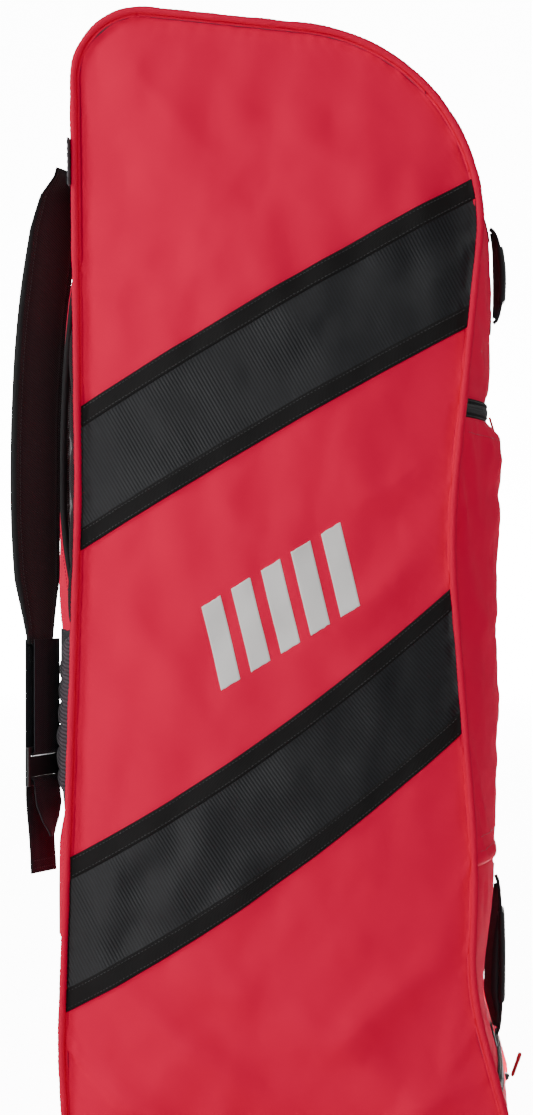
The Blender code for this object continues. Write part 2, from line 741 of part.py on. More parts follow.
def make_sliders():
    top = on_top(-0.086)
    along_top = gusset_point(on_top(0.0), 0, 0) - gusset_point(top, 0, 0)
    for side_name, side in SIDES.items():
        middle = side * (ZIP_SPLIT + ZIP_OUTER + GAP) / 2
        name = f"main_zip_{side_name}"
        make_slider(name, top, middle, along_top, 1.5 * GAP, (0.034, 0.0050, 0.0026), along_top)
    across_bag = Vector((0, 1, 0))
    tape = SEWN_LIFT + ZIP_THICK
    pocket = on_front((POCKET_ZIP_TOP + POCKET_TOP) / 2)
    hanging, upright = Vector((0.30, 0, -1)), Vector((0.35, 0, 1))
    pull = (0.034, 0.0090, 0.0026)
    make_slider("pocket_zip", pocket, POCKET_SLIDER_Y, across_bag, tape + 0.0018, pull, hanging)
    lower = on_front(sum(LOWER_ZIP) / 2)
    pull = (0.022, 0.0090, 0.0034)
    make_slider("lower_zip", lower, LOWER_SLIDER_Y, across_bag, tape + 0.0017, pull, upright)


# ---------------------------------------------------------------- the whole bag

SIDES = {"near": -1, "far": 1}
FINISHES = {}


def make_finishes():
    FINISHES.update(
        red_fabric=material("red_fabric", RED, 0.62),
        ribbed_band=material("ribbed_band", (0.022, 0.022, 0.026), 0.50),
        webbing=material("webbing", BLACK, 0.70),
        base_fabric=material("base_fabric", (0.016, 0.016, 0.018), 0.55),
        zip_tape=material("zip_tape", (0.010, 0.010, 0.011), 0.65),
        zip_metal=material("zip_metal", (0.05, 0.05, 0.055), 0.35, 0.8),
        puller_cord=material("puller_cord", (0.70, 0.015, 0.03), 0.5),
        moulded_plastic=material("moulded_plastic", (0.014, 0.014, 0.015), 0.40),
        pad_fabric=material("pad_fabric", (0.018, 0.015, 0.016), 0.85),
        air_mesh=material("air_mesh", (0.10, 0.095, 0.11), 0.80),
        board=material("board", (0.25, 0.25, 0.25), 0.50),
        lining=material("lining", (0.10, 0.10, 0.105), 0.75),
    )


def main():
    for old in list(bpy.data.objects):
        bpy.data.objects.remove(old)
    make_finishes()
    make_sides()
    make_bands()
    make_gusset()
    make_main_flap()
    make_front_pockets()
    make_stiffeners()
    make_back_pads()
    make_wings()
    for which in HANDLE_ENDS:
        make_handle(which)
    for side_name, side in SIDES.items():
        make_strap_pad(side_name, side)
        make_ladder_lock(side_name, side)
        make_strap_webbing(side_name, side)
    make_sliders()


main()
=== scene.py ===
"""Looks of the tall hockey equipment bag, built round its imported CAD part.

The near side panel faces -Y and the camera, the shoulder straps are at -X, the pockets at +X.
All sizes are in metres. The outline and the gusset's swell are the CAD part's own.
"""

import math

import bmesh
import bpy
import numpy as np
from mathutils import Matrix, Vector
from mathutils.bvhtree import BVHTree


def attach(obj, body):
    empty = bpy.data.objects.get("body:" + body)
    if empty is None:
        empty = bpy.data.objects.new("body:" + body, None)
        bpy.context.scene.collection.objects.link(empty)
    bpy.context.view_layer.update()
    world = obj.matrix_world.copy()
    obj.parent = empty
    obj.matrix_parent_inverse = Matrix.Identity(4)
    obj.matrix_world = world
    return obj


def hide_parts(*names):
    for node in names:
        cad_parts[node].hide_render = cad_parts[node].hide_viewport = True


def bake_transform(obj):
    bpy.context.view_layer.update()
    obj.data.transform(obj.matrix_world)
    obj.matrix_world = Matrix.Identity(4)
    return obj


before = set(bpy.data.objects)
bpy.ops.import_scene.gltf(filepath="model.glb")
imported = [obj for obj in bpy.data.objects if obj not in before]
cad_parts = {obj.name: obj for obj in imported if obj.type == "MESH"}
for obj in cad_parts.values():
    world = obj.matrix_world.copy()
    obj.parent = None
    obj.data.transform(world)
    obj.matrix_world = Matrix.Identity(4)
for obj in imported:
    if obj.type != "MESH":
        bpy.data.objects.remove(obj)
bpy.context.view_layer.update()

# ---------------------------------------------------------------- driving dimensions

HALF_WIDTH = 0.140  # centre plane to each side seam
FABRIC = 0.0030
PIPING_RADIUS = 0.0032
BASE_DROP = 0.0070
SIDE_CROWN = 0.0200
WEBBING_WIDTH = 0.038
WEBBING = 0.0018

# The side panel's outline, clockwise from the middle of the back: x, z and corner radius.
OUTLINE_CORNERS = (
    (-0.1600, 0.580, 1.50),
    (-0.1645, 0.998, 0.055),
    (0.1910, 0.957, 0.165),
    (0.1505, 0.548, 0.60),
    (0.1730, 0.270, 0.80),
    (0.1690, 0.165, 0.25),
    (0.2120, BASE_DROP, 0.030),
    (-0.1700, BASE_DROP, 0.030),
    (-0.1755, 0.110, 0.35),
)
OUTLINE_STEP = 0.003
BACK_SWELL, TOP_SWELL, FRONT_SWELL = 0.009, 0.005, 0.005
FRONT_PACKING, PACKING_MIDDLE, PACKING_REACH = 0.018, 0.490, 0.350

BAND_WIDTH = 0.105
# The middle line of each band: its height at x = 0, its rise towards the front there, and its bend.
BAND_LINES = {"upper": (0.6930, 0.576, -0.125), "lower": (0.3165, 0.721, 0.550)}
TAPE_WIDTH, TAPE_OVERHANG = 0.0155, 0.0006
RIB_PITCH, RIB_HEIGHT, KNIT_PITCH = 0.0028, 0.00050, 0.0009

SIDES = {"near": -1, "far": 1}

# ---------------------------------------------------------------- the outline, as arrays


def fillet(before, corner, after, radius):
    """The points of a rounded corner, from where it leaves one straight to where it meets the next."""
    arrive = (corner - before).normalized()
    leave = (after - corner).normalized()
    turn = arrive.angle_signed(leave)
    start = corner - arrive * radius * math.tan(abs(turn) / 2)
    side = Vector((arrive.y, -arrive.x)) * math.copysign(1, turn)
    centre = start + side * radius
    steps = max(2, math.ceil(abs(turn) * radius / OUTLINE_STEP))
    arm = start - centre
    points = []
    for i in range(steps + 1):
        cosine, sine = math.cos(-turn * i / steps), math.sin(-turn * i / steps)
        points.append(centre + Vector((arm.x * cosine - arm.y * sine, arm.x * sine + arm.y * cosine)))
    return points


def outline_points():
    corners = [Vector((x, z)) for x, z, _ in OUTLINE_CORNERS]
    count = len(corners)
    points = []
    for i, (_, _, radius) in enumerate(OUTLINE_CORNERS):
        points += fillet(corners[i - 1], corners[i], corners[(i + 1) % count], radius)
    stepped = []
    for start, end in zip(points, points[1:] + points[:1]):
        steps = math.ceil((end - start).length / OUTLINE_STEP)
        stepped += [tuple(start.lerp(end, i / steps)) for i in range(steps)]
    return np.array(stepped)


OUTLINE = outline_points()
CHORDS = np.roll(OUTLINE, -1, axis=0) - OUTLINE
CHORD_LENGTHS = np.linalg.norm(CHORDS, axis=1)
STATIONS = np.concatenate([[0], np.cumsum(CHORD_LENGTHS)])
LENGTH = STATIONS[-1]
CHORDS_OUT = CHORDS / CHORD_LENGTHS[:, None] + np.roll(CHORDS / CHORD_LENGTHS[:, None], 1, axis=0)
NORMALS = np.stack([-CHORDS_OUT[:, 1], CHORDS_OUT[:, 0]], 1)
NORMALS /= np.linalg.norm(NORMALS, axis=1)[:, None]


def outline_at(station):
    """Points and outward normals of the outline at some stations."""
    station = np.asarray(station) % LENGTH
    found = []
    for values in (OUTLINE, NORMALS):
        closed = np.vstack([values, values[:1]])
        found.append(np.stack([np.interp(station, STATIONS, closed[:, k]) for k in (0, 1)], -1))
    return found[0], found[1] / np.linalg.norm(found[1], axis=-1, keepdims=True)


def station_near(x, z):
    """The station of the outline that lies nearest to a point."""
    off = np.array([x, z]) - OUTLINE
    share = np.clip((off * CHORDS).sum(1) / CHORD_LENGTHS**2, 0, 1)
    nearest = np.argmin(np.linalg.norm(off - CHORDS * share[:, None], axis=1))
    return float(STATIONS[nearest] + share[nearest] * CHORD_LENGTHS[nearest])


def on_back(z):
    return station_near(-0.170, z)


def on_front(z):
    return station_near(0.180, z)


def on_top(x):
    return station_near(x, 1.0)


def swell(place, normal):
    """How far the gusset's middle stands out beyond its seams."""
    upward = TOP_SWELL * np.clip(normal[..., 1], 0, None) ** 2
    off_middle = np.clip(np.abs(place[..., 1] - PACKING_MIDDLE) / PACKING_REACH, 0, 1)
    front = (FRONT_SWELL + FRONT_PACKING * (1 - off_middle**4)) * normal[..., 0] ** 2
    back = BACK_SWELL * normal[..., 0] ** 2
    return upward + np.where(normal[..., 0] < 0, back, front)


def gusset_shape(station, y, lift):
    """Points of the unwrinkled gusset: along the outline, across the bag, and out from its face."""
    station, y, lift = np.broadcast_arrays(station, y, lift)
    place, normal = outline_at(station)
    out = swell(place, normal) * (1 - np.abs(y / HALF_WIDTH) ** 3) + lift
    flat = place + normal * out[..., None]
    return np.stack([flat[..., 0], y, flat[..., 1]], -1)


# ---------------------------------------------------------------- meshes from grids of points


def link(name, mesh, finishes):
    """An object in the scene, with finishes given by name."""
    made = bpy.data.objects.new(name, mesh)
    for finish in finishes:
        mesh.materials.append(FINISHES[finish])
    bpy.context.scene.collection.objects.link(made)
    return made


def build(name, points, faces, finishes, uv=None, finish_index=None):
    """A smooth-shaded mesh. uv has one pair for each point, in metres along and across the piece."""
    points = np.asarray(points, float).reshape(-1, 3)
    used = np.unique(np.concatenate([np.asarray(group).ravel() for group in faces]))
    renumber = np.zeros(len(points), int)
    renumber[used] = np.arange(len(used))
    listed = [tuple(face) for group in faces for face in renumber[np.asarray(group)].tolist()]
    mesh = bpy.data.meshes.new(name)
    mesh.from_pydata(points[used].tolist(), [], listed)
    mesh.shade_smooth()
    if uv is not None:
        corners = np.zeros(len(mesh.loops), int)
        mesh.loops.foreach_get("vertex_index", corners)
        layer = mesh.uv_layers.new(name="cloth")
        layer.data.foreach_set("uv", np.asarray(uv, float).reshape(-1, 2)[used][corners].ravel())
    if finish_index is not None:
        indices = np.concatenate([np.full(len(group), k) for group, k in zip(faces, finish_index)])
        mesh.polygons.foreach_set("material_index", indices)
    return link(name, mesh, finishes)


def grid_index(rows, columns):
    index = np.arange(rows * columns).reshape(rows, columns)
    return index[:-1, :-1], index[1:, :-1], index[1:, 1:], index[:-1, 1:]


def slab(name, top, bottom, finishes, uv, keep=None, sharp=False):
    """A closed sheet between two grids of points. keep marks the cells it has.
    Its top and rim wear the first finish, and its underside the last."""
    rows, columns = top.shape[:2]
    a, b, c, d = grid_index(rows, columns)
    kept = np.ones(a.shape, bool) if keep is None else keep
    under = rows * columns
    quads = np.stack([a, b, c, d], -1)[kept]
    rims = []
    padded = np.pad(kept, 1)
    for start, end, row, column in ((a, b, 0, -1), (b, c, 1, 0), (c, d, 0, 1), (d, a, -1, 0)):
        neighbour = padded[1 + row : rows + row, 1 + column : columns + column]
        edge = kept & ~neighbour
        first, last = start[edge], end[edge]
        rims.append(np.stack([last, first, first + under, last + under], -1))
    faces = [quads, quads[:, ::-1] + under, np.concatenate(rims)]
    points = np.concatenate([top.reshape(-1, 3), bottom.reshape(-1, 3)])
    corner = points[quads[len(quads) // 2]]
    turned = np.cross(corner[1] - corner[0], corner[3] - corner[0])
    if turned @ (corner[0] - points[quads[len(quads) // 2][0] + under]) < 0:
        faces = [group[:, ::-1] for group in faces]
    last_finish = len(finishes) - 1
    made = build(name, points, faces, finishes, np.concatenate([uv, uv]), (0, last_finish, 0))
    if sharp:
        made.data.set_sharp_from_angle(angle=math.radians(50))
    return made


def grid_normals(points):
    """Unit normals of a grid of points, one at each."""
    along = np.gradient(points, axis=0)
    across = np.gradient(points, axis=1)
    normal = np.cross(along, across)
    return normal / np.maximum(np.linalg.norm(normal, axis=-1, keepdims=True), 1e-12)


def tube(name, rings, finishes, uv=None, closed=False):
    """A skin over rings of points, each ring closed. Its ends are capped unless it is closed on itself."""
    count, size = rings.shape[:2]
    index = np.arange(count * size).reshape(count, size)
    after = np.roll(index, -1, axis=0) if closed else index[1:]
    before = index if closed else index[:-1]
    quads = np.stack([before, np.roll(before, -1, 1), np.roll(after, -1, 1), after], -1).reshape(-1, 4)
    faces = [quads]
    if not closed:
        faces += [index[:1, ::-1], index[-1:]]
    centre = rings[count // 2].mean(0)
    a, b, _, d = rings.reshape(-1, 3)[quads[(count // 2) * size]]
    if np.cross(b - a, d - a) @ (a - centre) < 0:
        faces = [group[:, ::-1] for group in faces]
    return build(name, rings, faces, finishes, uv)


def unit(vectors):
    return vectors / np.maximum(np.linalg.norm(vectors, axis=-1, keepdims=True), 1e-12)


def curve_between(p0, p1, p2, p3, t):
    """The smooth curve from p1 to p2, at shares t of its length."""
    curve = 2 * p1 + (p2 - p0) * t + (2 * p0 - 5 * p1 + 4 * p2 - p3) * t**2
    return (curve + (3 * p1 - p0 - 3 * p2 + p3) * t**3) / 2


def lengths_along(points):
    """The distance from a line's start to each of its points."""
    return np.concatenate([[0], np.cumsum(np.linalg.norm(np.diff(points, axis=0), axis=1))])


def resampled(values, lengths, at):
    """A line's points, or other values of it, at some distances along it."""
    return np.stack([np.interp(at, lengths, values[:, k]) for k in range(3)], -1)


def eased(share):
    """A share from 0 to 1 that starts and ends gently."""
    return share * share * (3 - 2 * share)


def boxy(wave, power):
    """A sine or cosine made squarer, by a power below 1."""
    return np.sign(wave) * np.abs(wave) ** power


def circle(sides):
    """Angles evenly round a circle."""
    return np.linspace(0, 2 * math.pi, sides, endpoint=False)


def smooth_line(points, step):
    """A smooth line through a few points, with a point about every step, as an array."""
    points = np.asarray(points, float)
    padded = np.vstack([2 * points[0] - points[1], points, 2 * points[-1] - points[-2]])
    line = []
    for k in range(len(points) - 1):
        count = max(2, math.ceil(np.linalg.norm(padded[k + 2] - padded[k + 1]) / step))
        line.append(curve_between(*padded[k : k + 4], (np.arange(count) / count)[:, None]))
    return np.vstack([*line, points[-1:]])


def evenly(points, step):
    """The same line with its points a step apart, or a little less."""
    lengths = lengths_along(points)
    count = max(2, math.ceil(lengths[-1] / step) + 1)
    return resampled(points, lengths, np.linspace(0, lengths[-1], count))


def stamp(name, shape, places, along, out, finishes):
    """Copies of a small shape, joined: (points, faces) with x along, y across and z out, set at places."""
    points, faces = shape
    across = unit(np.cross(out, along))
    along = unit(np.cross(across, out))
    frames = np.stack([along, across, unit(out)], 1)
    copies = np.einsum("pk,nkc->npc", points, frames) + places[:, None, :]
    shift = np.arange(len(places)) * len(points)
    groups = [(np.asarray(group)[None] + shift[:, None, None]).reshape(-1, len(group[0])) for group in faces]
    return build(name, copies, groups, finishes)


def lozenge(length, width, height, rings=4):
    """A stitch or a tooth: a rounded bar whose ends dip."""
    sides, sink = 6, 0.3
    points = []
    for i in range(rings):
        t = 2 * i / (rings - 1) - 1
        size = 1 - abs(t) ** 3 * 0.75
        dip = -sink * height * t**2
        for angle in circle(sides):
            across, up = width / 2 * size * math.cos(angle), height / 2 * size * math.sin(angle)
            points.append((t * length / 2, across, up + dip))
    index = np.arange(rings * sides).reshape(rings, sides)
    before, after = index[:-1], index[1:]
    quads = np.stack([before, after, np.roll(after, -1, 1), np.roll(before, -1, 1)], -1).reshape(-1, 4)
    return np.array(points), [quads, index[:1], index[-1:, ::-1]]


STITCH_PITCH, STITCH_LENGTH, THREAD = 0.0034, 0.0026, 0.0007


def stitches(name, lines, finish):
    """Rows of stitches along lines. Each line is its points and their normals."""
    places, along, out = [], [], []
    for points, normals in lines:
        lengths = lengths_along(points)
        at = np.arange(STITCH_PITCH / 2, lengths[-1], STITCH_PITCH)
        ahead, behind = (resampled(points, lengths, at + shift * STITCH_PITCH / 4) for shift in (1, -1))
        places.append(resampled(points, lengths, at))
        along.append(unit(ahead - behind))
        out.append(unit(resampled(normals, lengths, at)))
    shape = lozenge(STITCH_LENGTH, THREAD, THREAD * 0.8)
    return stamp(name, shape, np.vstack(places), np.vstack(along), np.vstack(out), [finish])


# ---------------------------------------------------------------- materials


class Finish:
    """A material's node tree, with short calls to add nodes."""

    def __init__(self, name, roughness, metallic=0.0, sheen=0.0, tint=(1, 1, 1), specular=0.5):
        self.material = bpy.data.materials.new(name)
        self.material.use_nodes = True
        self.tree = self.material.node_tree
        self.shader = self.tree.nodes["Principled BSDF"]
        for socket, value in (
            ("Roughness", roughness),
            ("Metallic", metallic),
            ("Sheen Weight", sheen),
            ("Sheen Roughness", 0.45),
            ("Sheen Tint", (*tint, 1.0)),
            ("Specular IOR Level", specular),
        ):
            self.shader.inputs[socket].default_value = value

    def node(self, kind, values=(), **settings):
        made = self.tree.nodes.new(kind)
        for key, value in settings.items():
            setattr(made, key, value)
        for socket, value in values:
            if isinstance(value, bpy.types.NodeSocket):
                self.tree.links.new(value, made.inputs[socket])
            else:
                made.inputs[socket].default_value = value
        return made

    def sum(self, operation, a, b=0.0):
        return self.node("ShaderNodeMath", [(0, a), (1, b)], operation=operation).outputs[0]

    def wave(self, value, pitch, shift=0.0):
        """Waves between -1 and 1 of a coordinate in metres."""
        turned = self.sum("MULTIPLY_ADD", value, 2 * math.pi / pitch)
        turned.node.inputs[2].default_value = shift
        return self.sum("SINE", turned)

    def along_across(self):
        """The piece's own coordinates, in metres along and across it."""
        place = self.node("ShaderNodeUVMap", uv_map="cloth").outputs[0]
        split = self.node("ShaderNodeSeparateXYZ", [(0, place)])
        return split.outputs[0], split.outputs[1]

    def noise(self, scale, detail=2.0):
        place = self.node("ShaderNodeTexCoord").outputs["Object"]
        made = self.node("ShaderNodeTexNoise", [("Vector", place), ("Scale", scale), ("Detail", detail)])
        return made.outputs["Fac"]

    def between(self, share, low, high):
        """share, from 0 to 1, stretched between two values."""
        values = [("Value", share), ("To Min", low), ("To Max", high)]
        return self.node("ShaderNodeMapRange", values).outputs["Result"]

    def share(self, value, low, high, **settings):
        """A value as a share: 0 at low and 1 at high."""
        values = [("Value", value), ("From Min", low), ("From Max", high)]
        return self.node("ShaderNodeMapRange", values, **settings).outputs["Result"]

    def mix(self, share, first, second):
        made = self.node("ShaderNodeMix", [(0, share)], data_type="RGBA")
        for socket, colour in ((6, first), (7, second)):
            if isinstance(colour, bpy.types.NodeSocket):
                self.tree.links.new(colour, made.inputs[socket])
            else:
                made.inputs[socket].default_value = (*colour, 1.0)
        return made.outputs[2]

    def paint(self, colour):
        self.tree.links.new(colour, self.shader.inputs["Base Color"])

    def rough(self, value):
        self.tree.links.new(value, self.shader.inputs["Roughness"])

    def bump(self, height, depth):
        made = self.node("ShaderNodeBump", [("Height", height), ("Distance", depth), ("Strength", 1.0)])
        self.tree.links.new(made.outputs[0], self.shader.inputs["Normal"])


def pattern_height(finish, pattern, pitch):
    """The height of a weave, from about -1 to 1, at the right scale on the piece."""
    u, v = finish.along_across()
    if pattern == "plain":
        crossing = finish.sum("MULTIPLY", finish.wave(u, pitch), finish.wave(v, pitch))
    elif pattern == "twill":
        slanted = finish.sum("ADD", u, finish.sum("MULTIPLY", v, 0.6))
        crossing = finish.sum("MULTIPLY", finish.wave(slanted, pitch), finish.wave(v, pitch * 0.7))
    elif pattern == "webbing":
        edge_on = finish.sum("PINGPONG", v, 0.0055)
        chevron = finish.sum("ADD", u, finish.sum("MULTIPLY", edge_on, 0.55))
        crossing = finish.wave(chevron, pitch)
    else:  # mesh: rows of open cells, each row half a cell on from the last
        cells = []
        for shift in (0.0, math.pi / 2):
            waves = finish.wave(u, pitch, shift), finish.wave(v, pitch * 1.7, shift)
            cells.append(finish.sum("MULTIPLY", *waves))
        crossing = finish.sum("ADD", *cells)
    return crossing


def cloth(name, colour, pattern, pitch, depth, roughness, sheen, dip_shade, specular, mottle=0.12):
    """A woven fabric: its weave, threads darker where they dip as a painted shade, uneven dye and handling
    marks.
    """
    made = Finish(name, roughness, sheen=sheen, specular=specular)
    height = made.share(pattern_height(made, pattern, pitch), -1.0, 1.0)
    # painted shade: the colour is darkened in the dips between threads
    dark = tuple(c * dip_shade for c in colour)
    woven = made.mix(height, dark, colour)
    faded = tuple(min(1, c * (1 + mottle) + 0.0015) for c in colour)
    patch = made.between(made.noise(9.0, 4.0), -0.35, 1.1)
    made.paint(made.mix(made.sum("MULTIPLY", patch, 0.35), woven, faded))
    made.rough(made.between(made.noise(22.0, 3.0), roughness - 0.07, roughness + 0.07))
    fuzz = made.sum("MULTIPLY", made.noise(1400.0), 0.35)
    made.bump(made.sum("ADD", height, fuzz), depth)
    return made.material


def ribbed(name, colour, painted_groove_shade, tint):
    """A knitted strip whose ribs run across it: dark between them as a painted shade, with a painted cool
    sheen along their crests.
    """
    made = Finish(name, 0.42, sheen=0.03, tint=tint, specular=0.38)
    u, v = made.along_across()
    crest = made.share(made.wave(u, RIB_PITCH, -math.pi / 2), -1.0, 0.9)
    knit = made.sum("MULTIPLY", made.wave(u, RIB_PITCH / 4), made.wave(v, KNIT_PITCH))
    # noise that dims the crests' painted sheen in patches
    edge_wear_and_sheen_patches = made.between(made.noise(7.0, 4.0), 0.6, 1.0)
    # the crests take the band's colour with a painted cool sheen, the grooves a painted shade
    made.paint(made.mix(made.sum("MULTIPLY", crest, edge_wear_and_sheen_patches), painted_groove_shade, colour))
    made.rough(made.between(made.noise(30.0, 3.0), 0.36, 0.50))
    made.bump(made.sum("ADD", made.sum("MULTIPLY", knit, 0.3), made.noise(1200.0)), 0.00008)
    return made.material


def moulded(name, colour, roughness, metallic, edge_wear_and_sheen_patches):
    """Plastic or enamelled metal: a fine grain, and edges rubbed by handling."""
    made = Finish(name, roughness, metallic=metallic)
    rubbed = made.share(made.node("ShaderNodeNewGeometry").outputs["Pointiness"], 0.52, 0.62)
    share = made.sum("MULTIPLY", rubbed, made.between(made.noise(160.0), 0.0, 0.8))
    made.paint(made.mix(share, colour, edge_wear_and_sheen_patches))
    made.rough(made.between(made.noise(60.0, 3.0), roughness - 0.08, roughness + 0.08))
    made.bump(made.noise(900.0), 0.00004)
    return made.material


RED = (0.95, 0.0, 0.064)
# Each cloth's colour, weave, the weave's pitch and depth, its roughness, sheen, how bright the painted shade
# leaves its gaps beside its threads, its specular level and, where it isn't the usual, how mottled it is.
CLOTHS = {
    "red_fabric": (RED, "plain", 0.0011, 0.00012, 0.70, 0.0, 0.80, 0.06),
    "red_piping": ((0.86, 0.0008, 0.056), "plain", 0.0011, 0.00012, 0.60, 0.0, 0.70, 0.10),
    "edge_tape": ((0.0070, 0.0062, 0.0062), "webbing", 0.0013, 0.00015, 0.66, 0.05, 0.70, 0.20),
    "webbing": ((0.010, 0.011, 0.015), "webbing", 0.0017, 0.00035, 0.60, 0.10, 0.70, 0.25),
    "grey_webbing": ((0.100, 0.100, 0.108), "webbing", 0.0034, 0.00060, 0.60, 0.15, 0.45, 0.40),
    "grip_fabric": ((0.010, 0.012, 0.015), "twill", 0.0013, 0.00015, 0.50, 0.12, 0.70, 0.30),
    "base_fabric": ((0.012, 0.012, 0.013), "plain", 0.0015, 0.00015, 0.45, 0.0, 0.70, 0.45),
    "zip_tape": ((0.007, 0.007, 0.008), "plain", 0.0009, 0.00010, 0.75, 0.02, 0.70, 0.06),
    "puller_cord": ((0.74, 0.012, 0.040), "twill", 0.0012, 0.00020, 0.50, 0.20, 0.70, 0.40),
    "pad_mesh": ((0.030, 0.013, 0.017), "mesh", 0.0021, 0.00050, 0.80, 0.20, 0.25, 0.20),
    "air_mesh": ((0.120, 0.105, 0.125), "mesh", 0.0034, 0.00100, 0.80, 0.25, 0.22, 0.20),
    "binding": ((0.008, 0.008, 0.009), "webbing", 0.0012, 0.00012, 0.62, 0.05, 0.70, 0.25),
    "lining": ((0.085, 0.085, 0.090), "plain", 0.0008, 0.00010, 0.60, 0.10, 0.70, 0.40),
    "red_thread": ((0.55, 0.010, 0.035), "twill", 0.0006, 0.00010, 0.50, 0.30, 0.70, 0.40),
    "black_thread": ((0.020, 0.020, 0.022), "twill", 0.0006, 0.00010, 0.50, 0.30, 0.70, 0.40),
    "print": ((0.86, 0.84, 0.82), "plain", 0.0011, 0.00006, 0.50, 0.0, 0.93, 0.40, 0.02),
}
# Each moulding's colour, roughness, metallic share and the colour of its worn edges.
MOULDINGS = {
    "board": ((0.22, 0.22, 0.22), 0.50, 0.0, (0.3, 0.3, 0.3)),
    "moulded_plastic": ((0.012, 0.012, 0.013), 0.36, 0.0, (0.10, 0.10, 0.10)),
    "zip_metal": ((0.05, 0.05, 0.055), 0.32, 0.8, (0.45, 0.45, 0.46)),
    "zip_teeth": ((0.016, 0.016, 0.018), 0.38, 0.0, (0.08, 0.08, 0.08)),
}
# The band's crest colour, its own dark colour with a painted cool sheen; the painted shade in its hollows;
# its shader's sheen tint.
RIB_CREST_WITH_PAINTED_SHEEN, RIB_PAINTED_HOLLOW_SHADE, RIB_TINT = (0.0075, 0.0085, 0.0125), (0.0006, 0.0006, 0.0009), (0.70, 0.82, 1.0)
FINISHES = {name: cloth(name, *values) for name, values in CLOTHS.items()}
FINISHES |= {name: moulded(name, *values) for name, values in MOULDINGS.items()}
FINISHES["ribbed_band"] = ribbed("ribbed_band", RIB_CREST_WITH_PAINTED_SHEEN, RIB_PAINTED_HOLLOW_SHADE, RIB_TINT)
RED_CLOTH = ["red_fabric", "lining"]


# ---------------------------------------------------------------- soft surfaces

SIM_FRAMES = 20


def run_cloth(sheets):
    """One cloth simulation over every soft surface at once. Each sheet is a grid of points with its
    pinned shares, its pressure, its spare cloth and the furthest that it may move."""
    made = {}
    for name, sheet in sheets.items():
        rows, columns = sheet["grid"].shape[:2]
        a, b, c, d = grid_index(rows, columns)
        quads = np.stack([a, b, c, d], -1).reshape(-1, 4)
        mesh = bpy.data.meshes.new(name)
        mesh.from_pydata(sheet["grid"].reshape(-1, 3).tolist(), [], quads.tolist())
        piece = link("cloth_" + name, mesh, [])
        group = piece.vertex_groups.new(name="pins")
        for share in np.unique(np.round(sheet["pins"], 2)):
            held = np.flatnonzero(np.round(sheet["pins"], 2).ravel() == share)
            group.add(held.tolist(), float(share), "REPLACE")
        cloth_modifier = piece.modifiers.new("cloth", "CLOTH")
        settings = cloth_modifier.settings
        settings.quality = 5
        settings.mass = 0.30
        settings.tension_stiffness = settings.compression_stiffness = 12
        settings.shear_stiffness = 6
        settings.bending_stiffness = sheet["stiffness"]
        settings.air_damping = 3.0
        settings.vertex_group_mass = "pins"
        settings.use_pressure = True
        settings.uniform_pressure_force = sheet["pressure"]
        settings.shrink_min = -sheet["slack"]
        settings.effector_weights.gravity = sheet["gravity"]
        cloth_modifier.collision_settings.use_collision = False
        cloth_modifier.collision_settings.use_self_collision = False
        cloth_modifier.point_cache.frame_start = 1
        cloth_modifier.point_cache.frame_end = SIM_FRAMES
        made[name] = piece
    scene = bpy.context.scene
    for frame_number in range(1, SIM_FRAMES + 1):
        scene.frame_set(frame_number)
    graph = bpy.context.evaluated_depsgraph_get()
    settled = {}
    for name, piece in made.items():
        seen = piece.evaluated_get(graph).data
        points = np.zeros(len(seen.vertices) * 3)
        seen.vertices.foreach_get("co", points)
        grid = sheets[name]["grid"]
        moved = points.reshape(grid.shape) - grid
        size = np.linalg.norm(moved, axis=-1, keepdims=True)
        cap = sheets[name]["cap"]
        settled[name] = grid + moved * (cap * np.tanh(size / cap) / np.maximum(size, 1e-9))
    for piece in made.values():
        bpy.data.objects.remove(piece)
    scene.frame_set(1)
    return settled


def refine(grid, factor):
    """A grid of points made finer by smooth interpolation both ways."""
    for axis in (0, 1):
        turned = np.moveaxis(grid, axis, 0)
        ends = [2 * turned[:1] - turned[1:2], turned, 2 * turned[-1:] - turned[-2:-1]]
        padded = np.concatenate(ends)
        four = padded[:-3], padded[1:-2], padded[2:-1], padded[3:]
        inserted = []
        for k in range(factor):
            inserted.append(curve_between(*four, k / factor))
        fine = np.stack(inserted, 1).reshape(-1, *turned.shape[1:])
        grid = np.moveaxis(np.concatenate([fine, turned[-1:]]), 0, axis)
    return grid


def undulation(a, b, seed, shortest, longest):
    """Uneven swells over a surface with coordinates a and b, between about -1 and 1."""
    random = np.random.default_rng(seed)
    total = np.zeros(np.broadcast(a, b).shape)
    weight = 0.0
    for _ in range(16):
        length = shortest * (longest / shortest) ** random.random()
        heading = random.random() * math.pi
        cosine, sine = math.cos(heading), math.sin(heading)
        turn = 2 * math.pi / length
        bend = 0.25 * np.sin(turn * 0.4 * (a * sine - b * cosine) + random.random() * 6)
        size = (length / longest) ** 0.8
        total += size * np.sin(turn * (a * cosine + b * sine) + random.random() * 6 + bend * 4)
        weight += size**2
    return total / math.sqrt(weight)


def crease(places, start, end, width, height):
    """A soft fold along a line on a flat panel: a ridge with a hollow beside it, fading out at its ends."""
    start, end = np.array(start), np.array(end)
    along = end - start
    share = ((places - start) @ along) / (along @ along)
    off = (places - start - np.clip(share, 0, 1)[..., None] * along) @ np.array([-along[1], along[0]])
    off = off / np.linalg.norm(along)
    fade = np.clip(share * (1 - share) * 4, 0, 1) ** 0.6
    ridge = np.exp(-((off / width) ** 2)) - 0.6 * np.exp(-(((off - 1.7 * width) / (1.3 * width)) ** 2))
    return height * fade * ridge


# ---------------------------------------------------------------- the two side panels

PANEL_COLUMNS, PANEL_ROWS = 56, 164
# Points (x, z) near the outline's corners, from the low back one round to the low front one.
PANEL_CORNERS = ((-0.1640, 0.0150), (-0.1500, 0.9860), (0.1440, 0.9180), (0.2040, 0.0150))
FOLD_SCALE = 2.2
